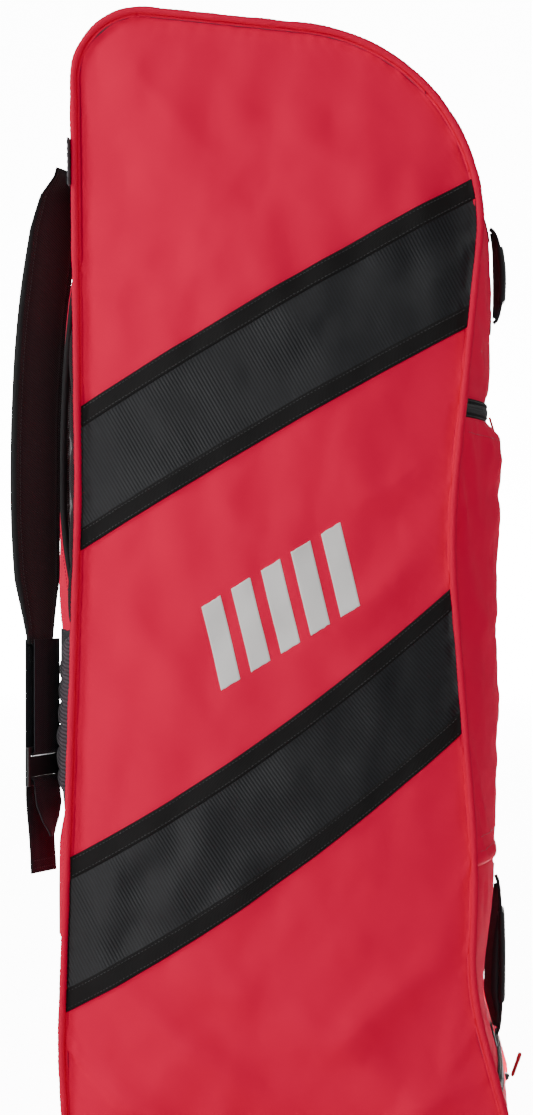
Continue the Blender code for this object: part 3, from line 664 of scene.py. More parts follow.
# Folds of the cloth between two points of a side panel (x, z), with their width and height.
FOLDS = (
    ((-0.150, 0.185), (0.010, 0.060), 0.016, 0.0022),
    ((-0.120, 0.205), (0.085, 0.120), 0.020, 0.0018),
    ((0.175, 0.215), (0.040, 0.105), 0.015, 0.0021),
    ((0.185, 0.100), (0.085, 0.035), 0.014, 0.0022),
    ((-0.150, 0.095), (-0.060, 0.030), 0.013, 0.0020),
    ((0.150, 0.545), (0.055, 0.470), 0.014, 0.0018),
    ((0.148, 0.610), (0.070, 0.575), 0.012, 0.0013),
    ((-0.155, 0.520), (-0.050, 0.400), 0.018, 0.0014),
    ((-0.160, 0.820), (-0.060, 0.760), 0.020, 0.0010),
    ((0.120, 0.880), (0.150, 0.760), 0.016, 0.0010),
)


def outline_side(first, last, count):
    place, _ = outline_at(np.linspace(first, last, count))
    return place


def panel_plan():
    """A grid of places (x, z) over a side panel, between the outline's four corners."""
    low_back, high_back, high_front, low_front = (station_near(*corner) for corner in PANEL_CORNERS)
    left = outline_side(low_back - LENGTH, high_back, PANEL_ROWS)
    right = outline_side(low_front, high_front, PANEL_ROWS)
    bottom = outline_side(low_back, low_front, PANEL_COLUMNS)
    top = outline_side(high_back, high_front, PANEL_COLUMNS)
    u = np.linspace(0, 1, PANEL_COLUMNS)[None, :, None]
    v = np.linspace(0, 1, PANEL_ROWS)[:, None, None]
    ruled = (1 - u) * left[:, None] + u * right[:, None] + (1 - v) * bottom[None] + v * top[None]
    bent = (1 - u) * (1 - v) * left[0] + u * (1 - v) * right[0] + (1 - u) * v * left[-1] + u * v * right[-1]
    return ruled - bent


def from_seam(places):
    """Distance of places on a side panel from its seam, and the station of the nearest point of it."""
    flat = places.reshape(-1, 2)
    apart = np.hypot(flat[:, None, 0] - OUTLINE[None, :, 0], flat[:, None, 1] - OUTLINE[None, :, 1])
    nearest = np.argmin(apart, axis=1)
    return apart.min(1).reshape(places.shape[:-1]), STATIONS[nearest].reshape(places.shape[:-1])


def panel_shape(side, plan, distance, station):
    """The crowned panel, with its folds and the puckers along its seam."""
    share = np.clip(distance / 0.150, 0, 1)
    rise = SIDE_CROWN * (1 - (1 - share) ** 2) - 0.0030 * np.exp(-((distance / 0.0045) ** 2))
    inner = np.clip(distance / 0.045, 0, 1)
    seed = 11 if side < 0 else 23
    mirrored = plan if side < 0 else plan + np.array([0.013, -0.021])
    swells = undulation(plan[..., 0], plan[..., 1], seed, 0.045, 0.170) * 0.0021
    small = undulation(plan[..., 0], plan[..., 1], seed + 1, 0.018, 0.040) * 0.00022
    folds = FOLD_SCALE * sum(crease(mirrored, *fold) for fold in FOLDS)
    phase = undulation(station, station * 0, seed + 2, 0.05, 0.3)
    puckers = 0.00055 * np.sin(2 * math.pi * station / 0.013 + 3 * phase) * np.exp(-distance / 0.010)
    rise = rise + inner * (swells + small + folds) + np.clip(distance / 0.004, 0, 1) * puckers
    y = side * (HALF_WIDTH + 0.0012 + rise)
    return np.stack([plan[..., 0], y, plan[..., 1]], -1)


class Surface:
    """A settled side panel that other pieces are laid on."""

    def __init__(self, side, grid):
        self.side = side
        self.normals = grid_normals(grid)
        if np.mean(self.normals[..., 1]) * side < 0:
            self.normals = -self.normals
        rows, columns = grid.shape[:2]
        self.cells = columns - 1
        a, b, c, d = grid_index(rows, columns)
        quads = np.stack([a, b, c, d], -1).reshape(-1, 4)
        self.tree = BVHTree.FromPolygons(grid.reshape(-1, 3).tolist(), quads.tolist())
        self.grid = grid

    def at(self, places, lift):
        """Points over places (x, z) on the panel, lifted off it, and the panel's normals there."""
        flat = np.asarray(places).reshape(-1, 2)
        points, normals = np.zeros((len(flat), 3)), np.zeros((len(flat), 3))
        towards = Vector((0, -self.side, 0))
        for k, (x, z) in enumerate(flat):
            hit, _, face, _ = self.tree.ray_cast((x, self.side * 0.3, z), towards)
            if hit is None:
                hit, _, face, _ = self.tree.find_nearest((x, self.side * HALF_WIDTH, z))
            i, j = divmod(face, self.cells)
            points[k] = hit
            normals[k] = self.normals[i : i + 2, j : j + 2].sum((0, 1))
        normals = unit(normals)
        shape = np.asarray(places).shape[:-1]
        lift = np.broadcast_to(lift, shape).reshape(-1, 1)
        return (points + normals * lift).reshape(*shape, 3), normals.reshape(*shape, 3)


# ---------------------------------------------------------------- the gusset round the bag

GUSSET_STEP = 0.0075
FLAP_BACK_X, FLAP_HINGE_Z = -0.112, 0.858
FLAP_HALF, ZIP_SPLIT, ZIP_OUTER, ZIP_CROSS = 0.0905, 0.0937, 0.1000, 0.0065
POCKET_TOP, POCKET_BOTTOM, POCKET_ZIP_TOP = 0.648, 0.270, 0.664
LOWER_ZIP = (0.084, 0.068)
HANDLE_ENDS = {"upper": (0.739, 0.821), "lower": (0.098, 0.244)}
BASE_BACK, BASE_FRONT = station_near(-0.140, BASE_DROP), station_near(0.170, BASE_DROP)
FLAP_START, HINGE = on_top(FLAP_BACK_X), on_front(FLAP_HINGE_Z)


def between(values, low, high):
    return (values > low) & (values < high)


def gusset_pins(s, y):
    """Where the gusset is held: at its seams, over the base and under what is sewn on it."""
    place, normal = outline_at(s)
    front, back = normal[..., 0] > 0.4, normal[..., 0] < -0.4
    z = place[..., 1]
    held = np.abs(y) > HALF_WIDTH - 0.002
    held |= (s % LENGTH > BASE_FRONT) & (s % LENGTH < BASE_BACK)
    held |= between(s % LENGTH, FLAP_START - 0.004, HINGE + 0.004) & between(np.abs(y), 0.088, 0.103)
    held |= (np.abs(s % LENGTH - HINGE) < 0.008) | (np.abs(s % LENGTH - FLAP_START) < 0.008)
    held |= front & between(z, POCKET_BOTTOM - 0.010, POCKET_ZIP_TOP + 0.010)
    held |= front & between(z, LOWER_ZIP[1] - 0.008, LOWER_ZIP[0] + 0.008)
    for low, high in HANDLE_ENDS.values():
        held |= front & between(z, low - 0.012, high + 0.012) & (np.abs(y) < 0.026)
    held |= back & between(z, 0.190, 0.900)
    return held.astype(float)


def gusset_grid():
    count = math.ceil(LENGTH / GUSSET_STEP)
    s = np.linspace(0, LENGTH, count + 1)[:, None]
    y = np.linspace(-HALF_WIDTH, HALF_WIDTH, 41)[None]
    s, y = np.broadcast_arrays(s, y)
    pins = gusset_pins(s, y)
    free = np.clip((HALF_WIDTH - np.abs(y)) / 0.030, 0, 1) * (1 - pins)
    place, _ = outline_at(s)
    ripples = undulation(s, y, 5, 0.040, 0.150) * 0.0009 + undulation(s, y, 6, 0.015, 0.035) * 0.0002
    ends = np.clip(np.minimum(s, LENGTH - s) / 0.05, 0, 1)
    phase = undulation(s, s * 0, 7, 0.05, 0.3)
    seam = np.exp(-(HALF_WIDTH - np.abs(y)) / 0.010) * np.clip((HALF_WIDTH - np.abs(y)) / 0.004, 0, 1)
    puckers = 0.0005 * np.sin(2 * math.pi * s / 0.012 + 3 * phase) * seam * (1 - pins)
    return gusset_shape(s, y, free * ripples * ends + puckers * ends), pins


class Gusset:
    """The settled gusset, as a function of station and y."""

    def __init__(self, grid):
        self.grid = refine(grid, 2)
        self.normals = grid_normals(self.grid)
        self.normals[0] = self.normals[-1] = unit(self.normals[0] + self.normals[-1])
        middle = len(self.grid) // 3
        if self.normals[middle, 20] @ (self.grid[middle, 20] - np.array([0, 0, 0.5])) < 0:
            self.normals = -self.normals

    def at(self, station, y, lift=0.0):
        """Points lifted off the gusset, and its normals there."""
        station, y, lift = np.broadcast_arrays(station, y, lift)
        rows, columns = self.grid.shape[0] - 1, self.grid.shape[1] - 1
        row = np.clip(station % LENGTH / LENGTH * rows, 0, rows - 1e-6)
        column = np.clip((y / HALF_WIDTH + 1) / 2 * columns, 0, columns - 1e-6)
        i, j = row.astype(int), column.astype(int)
        a, b = (row - i)[..., None], (column - j)[..., None]
        found = []
        for values in (self.grid, self.normals):
            low = values[i, j] * (1 - b) + values[i, j + 1] * b
            high = values[i + 1, j] * (1 - b) + values[i + 1, j + 1] * b
            found.append(low * (1 - a) + high * a)
        normal = unit(found[1])
        return found[0] + normal * lift[..., None], normal


def steps(first, last, step):
    """Evenly spaced values, rising, with both ends."""
    count = max(1, math.ceil(abs(last - first) / step))
    return np.sort(np.linspace(first, last, count + 1))


def gusset_slab(name, s, y, low, high, finishes, keep=None, sharp=False):
    """A closed sheet on the settled gusset. low and high are its lifts, as numbers or grids."""
    s_grid, y_grid = np.meshgrid(s, y, indexing="ij")
    top, _ = GUSSET.at(s_grid, y_grid, high)
    bottom, _ = GUSSET.at(s_grid, y_grid, low)
    return slab(name, top, bottom, finishes, np.stack([s_grid, y_grid], -1), keep, sharp)


# ---------------------------------------------------------------- the front pocket's cloth

SEWN_LIFT = 0.0007  # what is sewn on the gusset clears it by this
POCKET_HALF = 0.1370
POCKET_BULGE, POCKET_FABRIC = 0.021, 0.0022


def pocket_grid():
    """The pocket's cloth before it settles: packed fullest near its top, with slack folds at its ends."""
    s = np.linspace(on_front(POCKET_TOP), on_front(POCKET_BOTTOM), 64)[:, None]
    y = np.linspace(-POCKET_HALF, POCKET_HALF, 48)[None]
    s, y = np.broadcast_arrays(s, y)
    u = (s - s[0, 0]) / (s[-1, 0] - s[0, 0])
    share = np.sin(math.pi * u**0.42) * (1 - np.abs(y / POCKET_HALF) ** 2.5)
    wrinkles = 0.0016 * undulation(s, y, 71, 0.035, 0.12) + 0.0004 * undulation(s, y, 72, 0.015, 0.03)
    top_folds = 0.0012 * np.sin(2 * math.pi * y / 0.031 + 2 * u) * np.exp(-u / 0.10)
    folds = (wrinkles + top_folds) * np.clip(share * 4, 0, 1)
    lift = SEWN_LIFT + POCKET_FABRIC + POCKET_BULGE * share + folds
    pins = np.zeros(u.shape)
    pins[0] = pins[-1] = 1
    pins[:, 0] = pins[:, -1] = 1
    return gusset_shape(s, y, lift), pins, np.stack([s, y], -1)


# ---------------------------------------------------------------- settle the cloth

PLAN = panel_plan()
SEAM_DISTANCE, SEAM_STATION = from_seam(PLAN)
PANEL_PINS = (SEAM_DISTANCE < 0.001).astype(float)
GUSSET_GRID, GUSSET_PINS = gusset_grid()
POCKET_GRID, POCKET_PINS, POCKET_UV = pocket_grid()
cloths = {
    "gusset": {
        "grid": GUSSET_GRID, "pins": GUSSET_PINS, "pressure": 0.6, "slack": 0.006,
        "stiffness": 1.2, "gravity": 0.4, "cap": 0.003,
    },
    "pocket": {
        "grid": POCKET_GRID, "pins": POCKET_PINS, "pressure": 0.4, "slack": 0.012,
        "stiffness": 0.8, "gravity": 0.8, "cap": 0.004,
    },
}
for side_name, side in SIDES.items():
    cloths[side_name] = {
        "grid": panel_shape(side, PLAN, SEAM_DISTANCE, SEAM_STATION), "pins": PANEL_PINS, "pressure": 0.5,
        "slack": 0.008, "stiffness": 0.8, "gravity": 0.6, "cap": 0.0035,
    }
settled = run_cloth(cloths)
GUSSET = Gusset(settled["gusset"])
PANELS = {name: Surface(side, refine(settled[name], 2)) for name, side in SIDES.items()}


def piece(made, body, *nodes, slot=None):
    """A finished piece: it moves with a body and stands for its CAD nodes, which it hides. Its slot is not
    used.
    """
    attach(made, body)
    if nodes:
        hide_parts(*nodes)
    return made


def sew(name, rows, thread, body):
    """Stitches along rows, each its points and normals, that move with a body."""
    piece(stitches(name, rows, thread), body)


# ---------------------------------------------------------------- side panels, piping, bands and print

BAND_LIFT, RIBBED_THICK, EDGE_LIFT, EDGE_THICK = 0.0002, 0.0010, 0.0010, 0.0009
BAND_CELL = 0.0026
BAND_REACH, BAND_SAMPLES = 0.26, 521
PRINT_CENTRE = (0.011, 0.490)
PRINT_SLOPE, PRINT_LEAN = math.radians(31.6), math.radians(18)
PRINT_BARS, PRINT_LENGTH, PRINT_HEIGHT, PRINT_GAP = 5, 0.137, 0.072, 0.0105


def make_side_panel(side_name):
    panel = PANELS[side_name]
    outer = panel.grid
    inner = outer - panel.normals * FABRIC
    plan = outer[..., [0, 2]]
    made = slab(f"side_panel_{side_name}_cloth", outer, inner, RED_CLOTH, plan)
    piece(made, "bag", f"side_panel_{side_name}", slot="red_fabric")


def make_piping(side_name, side):
    """A cord wrapped in cloth, sewn into the seam. The cloth puckers between its stitches."""
    s = np.linspace(0, LENGTH, math.ceil(LENGTH / 0.0022), endpoint=False)
    place, normal = outline_at(s)
    pucker = 0.00016 * np.sin(2 * math.pi * s / 0.0052) + 0.00020 * undulation(s, s * 0, 31, 0.006, 0.05)
    angle = circle(14)[None]
    radius = (PIPING_RADIUS + pucker)[:, None] * (1 + 0.10 * np.cos(angle + 0.8 * side))
    out, up = radius * np.cos(angle), radius * np.sin(angle)
    away = PIPING_RADIUS - 0.0012
    flat = place[:, None] + normal[:, None] * (away + out)[..., None]
    rings = np.stack([flat[..., 0], side * (HALF_WIDTH + 0.0018) + up, flat[..., 1]], -1)
    uv = np.stack(np.broadcast_arrays(s[:, None], angle * PIPING_RADIUS), -1)
    made = tube(f"piping_{side_name}_cord", rings, ["red_piping"], uv, closed=True)
    piece(made, "bag", f"piping_{side_name}", slot="red_piping")


def band_place(which, a, b):
    """Places on a panel's plane, from how far they are along a band's middle line and across it."""
    height, slope, bend = BAND_LINES[which]
    x = np.linspace(-BAND_REACH, BAND_REACH, BAND_SAMPLES)
    along = np.cumsum(np.hypot(1, slope + 2 * bend * x)) * (x[1] - x[0])
    x = np.interp(a, along - along[BAND_SAMPLES // 2], x)
    rise = slope + 2 * bend * x
    over = b * math.hypot(1, slope) / np.hypot(1, rise) ** 2
    return np.stack([x - over * rise, height + slope * x + bend * x**2 + over], -1)


def band_ends(which, across):
    """Where a line along the band, at some place across it, meets the outline at either end."""
    a = np.linspace(-BAND_REACH, BAND_REACH, BAND_SAMPLES)
    places = band_place(which, a, across)
    nearest = np.argmin(np.linalg.norm(places[:, None] - OUTLINE[None], axis=-1), axis=1)
    outside = ((places - OUTLINE[nearest]) * NORMALS[nearest]).sum(-1)
    first, last = np.flatnonzero(outside < 0)[[0, -1]]
    ends = []
    for inner, outer in ((first, first - 1), (last, last + 1)):
        share = outside[inner] / (outside[inner] - outside[outer])
        ends.append(a[inner] + share * (a[outer] - a[inner]))
    return ends


def band_grid(which, low, high, cell_along, cell_across, edge_columns=0.0):
    """A band's own grid: places along and across it, its cells inside the outline, and its plan."""
    b = steps(low, high, cell_across)
    if edge_columns:
        b = np.concatenate([[low, low + edge_columns], b[1:-1], [high - edge_columns, high]])
    ends = np.array([band_ends(which, value) for value in b])
    a = steps(ends[:, 0].min(), ends[:, 1].max(), cell_along)
    a_grid, b_grid = np.meshgrid(a, b, indexing="ij")
    clipped = np.clip(a_grid, ends[None, :, 0], ends[None, :, 1])
    inside = (a_grid >= ends[None, :, 0]) & (a_grid <= ends[None, :, 1])
    keep = inside[:-1, :-1] | inside[1:, :-1] | inside[1:, 1:] | inside[:-1, 1:]
    # a cell whose corners were all moved onto one point of the outline has no area
    long_enough = np.abs(np.diff(clipped, axis=0)) > 1e-9
    keep &= long_enough[:, :-1] | long_enough[:, 1:]
    return clipped, b_grid, keep, band_place(which, clipped, b_grid)


def make_band(which, side_name):
    """The ribbed strip, whose ribs run across it, and the two tapes that bind its edges."""
    half = BAND_WIDTH / 2
    panel = PANELS[side_name]
    a, b, keep, plan = band_grid(which, -half, half, RIB_PITCH / 4, BAND_CELL)
    crests = np.abs(np.sin(math.pi * a / RIB_PITCH)) ** 0.8
    ribs = RIB_HEIGHT * (crests + 0.12 * undulation(a, b, 41, 0.01, 0.06))
    to_end = np.minimum(a - a.min(0), a.max(0) - a)
    top, normals = panel.at(plan, BAND_LIFT + 0.0005 + ribs + 0.0007 * np.exp(-to_end / 0.004))
    bottom = top - normals * RIBBED_THICK
    name = f"{which}_band_{side_name}"
    made = slab(name + "_ribbed", top, bottom, ["ribbed_band"], np.stack([a, b], -1), keep)
    piece(made, "bag", name, slot="ribbed_band")
    lines = []
    outer = half + TAPE_OVERHANG
    edges = {"upper": (half - TAPE_WIDTH, outer), "lower": (-outer, TAPE_WIDTH - half)}
    for edge, (low, high) in edges.items():
        a, b, keep, plan = band_grid(which, low, high, 0.0030, 0.0026, edge_columns=0.0005)
        rim = np.minimum(b - low, high - b)
        sag = 0.00012 * undulation(a, b, 43 if edge == "upper" else 44, 0.012, 0.07)
        lift = EDGE_LIFT + EDGE_THICK * np.clip(rim / 0.0005, 0.25, 1) + sag * (rim > 0.001)
        top, normals = panel.at(plan, lift)
        bottom = top - normals * (lift + 0.0004)[..., None]
        tape_name = f"{which}_band_{edge}_edge_tape_{side_name}"
        made = slab(tape_name + "_woven", top, bottom, ["edge_tape"], np.stack([a, b], -1), keep)
        piece(made, "bag", tape_name, slot="edge_tape")
        for place in (low + 0.0024, high - 0.0024):
            left, right = band_ends(which, place)
            row = band_place(which, np.arange(left + 0.003, right - 0.002, 0.004), place)
            lines.append(panel.at(row, EDGE_LIFT + EDGE_THICK + 0.0001))
    sew(f"{which}_band_stitches_{side_name}", lines, "black_thread", "bag")


def make_print(side_name):
    """A plain hatch of equal slanted bars in white ink, a little uneven at their edges."""
    along = np.array([math.cos(PRINT_SLOPE), math.sin(PRINT_SLOPE)])
    lean = PRINT_SLOPE + math.pi / 2 - PRINT_LEAN
    upward = np.array([math.cos(lean), math.sin(lean)])
    width = (PRINT_LENGTH - PRINT_GAP * (PRINT_BARS - 1)) / PRINT_BARS
    centre = np.array(PRINT_CENTRE)
    for k in range(PRINT_BARS):
        start = -PRINT_LENGTH / 2 + k * (width + PRINT_GAP)
        a, b = np.meshgrid(steps(start, start + width, 0.0015), steps(-0.5, 0.5, 0.018), indexing="ij")
        ragged = 0.00025 * undulation(a * 3 + k, b * PRINT_HEIGHT * 3, 51 + k, 0.004, 0.03)
        plan = centre + a[..., None] * along + (b * PRINT_HEIGHT + ragged)[..., None] * upward
        top, normals = PANELS[side_name].at(plan, 0.00035)
        made = slab(f"print_bar_{k + 1}_{side_name}", top, top - normals * 0.0005, ["print"], plan)
        piece(made, "bag")


for side_name, side in SIDES.items():
    make_side_panel(side_name)
    make_piping(side_name, side)
    make_print(side_name)
    for which in BAND_LINES:
        make_band(which, side_name)


# ---------------------------------------------------------------- gusset panels

def make_gusset_panels():
    edge = HALF_WIDTH - 0.0002
    y = steps(-edge, edge, 0.0045)
    parts = {
        "back_panel": (BASE_BACK - LENGTH, FLAP_START),
        "front_panel": (HINGE, BASE_FRONT),
    }
    for name, (first, last) in parts.items():
        made = gusset_slab(name + "_cloth", steps(first, last, 0.004), y, -FABRIC, 0.0, RED_CLOTH)
        piece(made, "bag", name, slot="red_fabric")
    for side_name, side in SIDES.items():
        rail = np.sort(side * steps(ZIP_OUTER - 0.0010, edge, 0.004))
        s = steps(FLAP_START, HINGE, 0.004)
        name = f"top_rail_{side_name}"
        made = gusset_slab(name + "_cloth", s, rail, -FABRIC, 0.0, RED_CLOTH)
        piece(made, "bag", name, slot="red_fabric")


make_gusset_panels()


# ---------------------------------------------------------------- flap and base

ZIP_THICK = 0.0026
FLAP_EDGE = FLAP_START + 1.5 * ZIP_CROSS + 0.0008
BLEND_REACH = 0.016  # a length along the gusset from the flap's hinge


def bend_at_hinge(made, *nodes, slot):
    """A piece of the flap: it stands for its CAD nodes, which it hides, and its transform is baked into its
    mesh.
    """
    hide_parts(*nodes)
    start, _ = GUSSET.at(HINGE, 0.0)
    end, _ = GUSSET.at(HINGE - BLEND_REACH, 0.0)
    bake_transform(made)


def make_main_flap():
    s, y = steps(FLAP_EDGE, HINGE, 0.0035), steps(-FLAP_HALF, FLAP_HALF, 0.0045)
    made = gusset_slab("main_flap_cloth", s, y, -FABRIC, 0.0, RED_CLOTH)
    bend_at_hinge(made, "main_flap", slot="red_fabric")
    rows = [GUSSET.at(s[:-6], side * (FLAP_HALF - 0.003), 0.0002) for side in (-1, 1)]
    rows.append(GUSSET.at(FLAP_EDGE + 0.003, steps(0.004 - FLAP_HALF, FLAP_HALF - 0.004, 0.004), 0.0002))
    sew("main_flap_stitches", rows, "red_thread", "flap")


def make_base():
    """The padded base, rounded at its rim."""
    low, high, rim = 0.0006, 0.0094, 0.0042
    half_y = 0.1372
    x, y = steps(-0.1395, 0.1695, 0.0030), steps(-half_y, half_y, 0.0036)
    x = np.concatenate([[x[0], x[0] + 0.0007], x[1:-1], [x[-1] - 0.0007, x[-1]]])
    x_grid, y_grid = np.meshgrid(x, y, indexing="ij")
    inward = np.minimum.reduce([x_grid - x[0], x[-1] - x_grid, half_y - np.abs(y_grid)])
    rounding = rim - np.sqrt(rim**2 - np.clip(rim - inward, 0, rim) ** 2)
    rows = [np.abs(np.sin(math.pi * over / 0.045)) for over in (x_grid + y_grid, x_grid - y_grid)]
    quilt = 0.0006 * (rows[0] * rows[1]) ** 0.4
    top = np.stack([x_grid, y_grid, high - rounding], -1)
    bottom = np.stack([x_grid, y_grid, low + rounding + np.clip(inward / 0.01, 0, 1) * (0.0006 - quilt)], -1)
    made = slab("base_panel_padded", top, bottom, ["base_fabric"], np.stack([x_grid, y_grid], -1))
    piece(made, "bag", "base_panel", slot="base_fabric")


# ---------------------------------------------------------------- zips

COIL_PITCH, COIL_LENGTH, COIL_WIRE = 0.0019, 0.0054, 0.0012


def coil(name, s, y, s_direction, lift, body):
    """The teeth of a coil zip at places on the gusset. s_direction says that the zip runs across the bag."""
    places, normals = GUSSET.at(s, y, lift)
    if s_direction:
        ahead, _ = GUSSET.at(np.asarray(s) + 0.002, y, lift)
    else:
        ahead, _ = GUSSET.at(s, np.asarray(y) + 0.002, lift)
    shape = lozenge(COIL_LENGTH, COIL_WIRE, COIL_WIRE * 1.1, rings=5)
    piece(stamp(name, shape, places, unit(ahead - places), normals, ["zip_teeth"]), body)


def make_main_zip():
    """Two halves of a zip that runs up one side of the flap, across its back and down the other side."""
    low, high = -FABRIC + 0.0002, 0.0004
    tape = ["zip_tape"]
    inner = steps(-FLAP_HALF + 0.004, FLAP_HALF - 0.004, 0.006)
    rows = {
        "bag": steps(FLAP_START + ZIP_CROSS, HINGE, 0.0040),
        "flap": steps(FLAP_EDGE - 0.0004, HINGE, 0.0040),
    }
    y = np.concatenate([[-ZIP_OUTER, -ZIP_SPLIT - 0.0001], inner, [ZIP_SPLIT + 0.0001, ZIP_OUTER]])
    s = np.concatenate([[FLAP_START], rows["bag"]])
    middles = (s[:-1] + s[1:]) / 2, np.abs((y[:-1] + y[1:]) / 2)
    keep = (middles[0] < FLAP_START + ZIP_CROSS)[:, None] | (middles[1] > ZIP_SPLIT)[None]
    made = gusset_slab("main_zip_bag_tape_woven", s, y, low, high, tape, keep, sharp=True)
    piece(made, "bag", "main_zip_bag_tape", slot="zip_tape")
    rim = [FLAP_HALF + 0.0003, ZIP_SPLIT - 0.0001]
    y = np.concatenate([[-rim[1], -rim[0]], inner, rim])
    s = np.concatenate([[FLAP_START + ZIP_CROSS + 0.0002], rows["flap"]])
    middles = (s[:-1] + s[1:]) / 2, np.abs((y[:-1] + y[1:]) / 2)
    keep = (middles[0] < FLAP_EDGE - 0.0004)[:, None] | (middles[1] > FLAP_HALF)[None]
    made = gusset_slab("main_zip_flap_tape_woven", s, y, low, high, tape, keep, sharp=True)
    bend_at_hinge(made, "main_zip_flap_tape", slot="zip_tape")
    cross = FLAP_START + ZIP_CROSS
    for body, shift in (("bag", 0.0), ("flap", 0.5)):
        along = np.arange(cross + 0.004 + shift * 2 * COIL_PITCH, HINGE - 0.018, 2 * COIL_PITCH)
        over = np.arange(0.003 - ZIP_SPLIT + shift * 2 * COIL_PITCH, ZIP_SPLIT - 0.003, 2 * COIL_PITCH)
        sides = np.concatenate([along, along]), np.repeat([-ZIP_SPLIT, ZIP_SPLIT], len(along))
        coil(f"main_zip_{body}_teeth_sides", *sides, False, 0.0010, body)
        coil(f"main_zip_{body}_teeth_back", np.full(len(over), cross), over, True, 0.0010, body)


def make_cross_zip(node, low_z, high_z, half):
    """A closed zip across the front: its tape, its two rows of teeth and the stitches that sew it on."""
    first, last = on_front(high_z), on_front(low_z)
    middle, reach = (first + last) / 2, (last - first) / 2
    s = middle + reach * np.array([-1, -0.94, -0.4, -0.34, 0.34, 0.4, 0.94, 1])
    y = steps(-half, half, 0.0040)
    lift = SEWN_LIFT + np.array([0.0004, 0.0011, 0.0011, 0.0007, 0.0007, 0.0011, 0.0011, 0.0004])[:, None]
    ripple = 0.00012 * undulation(s[:, None], y[None], 61, 0.008, 0.05)
    made = gusset_slab(node + "_tape", s, y, SEWN_LIFT - 0.0002, lift + ripple, ["zip_tape"])
    piece(made, "bag", node, slot="zip_tape")
    teeth = np.arange(-half + 0.004, half - 0.004, COIL_PITCH)
    for name, shift in (("upper", -0.0012), ("lower", 0.0012)):
        at = teeth + (0.25 if shift > 0 else -0.25) * COIL_PITCH
        row = np.full(len(at), middle + shift)
        coil(f"{node}_teeth_{name}", row, at, True, SEWN_LIFT + 0.0016, "bag")
    rows = [GUSSET.at(middle + side * reach * 0.80, y, SEWN_LIFT + 0.0013) for side in (-1, 1)]
    sew(node + "_stitches", rows, "black_thread", "bag")


# ---------------------------------------------------------------- front pocket and back pads

PAD_HALF = 0.104
# Each pad's low and high z, thickness, number of sewn channels, how deep they are, and finish.
BACK_PADS = {
    "spine_pad": (0.470, 0.730, 0.0120, 5, 0.35, "pad_mesh"),
    "lumbar_pad": (0.325, 0.462, 0.0178, 7, 0.22, "air_mesh"),
}


def make_front_pocket():
    outer = refine(settled["pocket"], 2)
    uv = refine(POCKET_UV, 2)
    normals = grid_normals(outer)
    middle = tuple(n // 2 for n in outer.shape[:2])
    if normals[middle][0] < 0:
        normals = -normals
    made = slab("front_pocket_cloth", outer, outer - normals * (POCKET_FABRIC - 0.0004), RED_CLOTH, uv)
    piece(made, "bag", "front_pocket", slot="red_fabric")
    rows = []
    for row in (4, -5, -9):
        rows.append((outer[row, 2:-2] + normals[row, 2:-2] * 0.0002, normals[row, 2:-2]))
    sew("front_pocket_stitches", rows, "red_thread", "bag")


def make_back_pad(name):
    """A foam pad under mesh, sewn down in channels, with a bound rim."""
    low_z, high_z, thick, channels, depth, finish = BACK_PADS[name]
    first, last = on_back(low_z), on_back(high_z)
    if first > last:  # the outline starts at the middle of the back
        first -= LENGTH
    s, y = np.meshgrid(steps(first, last, 0.0022), steps(-PAD_HALF, PAD_HALF, 0.0030), indexing="ij")
    u = (s - first) / (last - first)
    inward = np.minimum.reduce([s - first, last - s, PAD_HALF - np.abs(y)])
    rim = np.clip(inward / 0.012, 0, 1)
    rounding = np.sqrt(1 - (1 - rim) ** 2)
    quilt = 1 - depth * (1 - np.abs(np.sin(math.pi * channels * u)) ** 0.5) * np.clip(inward / 0.010, 0, 1)
    spine = 1 - 0.35 * np.exp(-((y / 0.010) ** 2))
    crown = 0.62 + 0.36 * (1 - np.abs(2 * u - 1) ** 4) * (1 - np.abs(y / PAD_HALF) ** 4)
    uneven = 1 + 0.03 * undulation(s, y, 81, 0.02, 0.08)
    high = SEWN_LIFT + 0.0015 + (thick - 0.0022) * rounding * crown * quilt * spine * uneven
    top, _ = GUSSET.at(s, y, high)
    bottom, _ = GUSSET.at(s, y, SEWN_LIFT - 0.0002)
    made = slab(name + "_quilted", top, bottom, [finish], np.stack([s, y], -1))
    piece(made, "bag", name, slot=finish)
    bind_pad(name, first, last)


def bind_pad(name, first, last):
    """The binding sewn round a back pad's rim."""
    rim_width, rim_height, step = 0.0045, 0.0015, 0.004
    corners = [(first, -PAD_HALF), (last, -PAD_HALF), (last, PAD_HALF), (first, PAD_HALF), (first, -PAD_HALF)]
    line = []
    for (s0, y0), (s1, y1) in zip(corners, corners[1:]):
        share = steps(0, 1, step / max(abs(s1 - s0), abs(y1 - y0)))[:-1, None]
        line.append(np.array([[s0, y0]]) * (1 - share) + np.array([[s1, y1]]) * share)
    line = np.vstack(line)
    centre = np.array([(first + last) / 2, 0.0])
    line = centre + (line - centre) * (1 - rim_width / 2 / np.array([(last - first) / 2, PAD_HALF]))
    middle, out = GUSSET.at(line[:, 0], line[:, 1], SEWN_LIFT + 0.0016)
    ahead = unit(np.roll(middle, -1, 0) - np.roll(middle, 1, 0))
    wide = unit(np.cross(out, ahead))
    angle = circle(10)[None, :, None]
    over = wide[:, None] * np.cos(angle) * rim_width / 2
    rings = middle[:, None] + over + out[:, None] * np.sin(angle) * rim_height
    distance = np.arange(len(line))[:, None] * step
    uv = np.stack(np.broadcast_arrays(distance, angle[..., 0] * rim_height), -1)
    piece(tube(name + "_binding", rings, ["binding"], uv, closed=True), "bag")


# ---------------------------------------------------------------- webbing

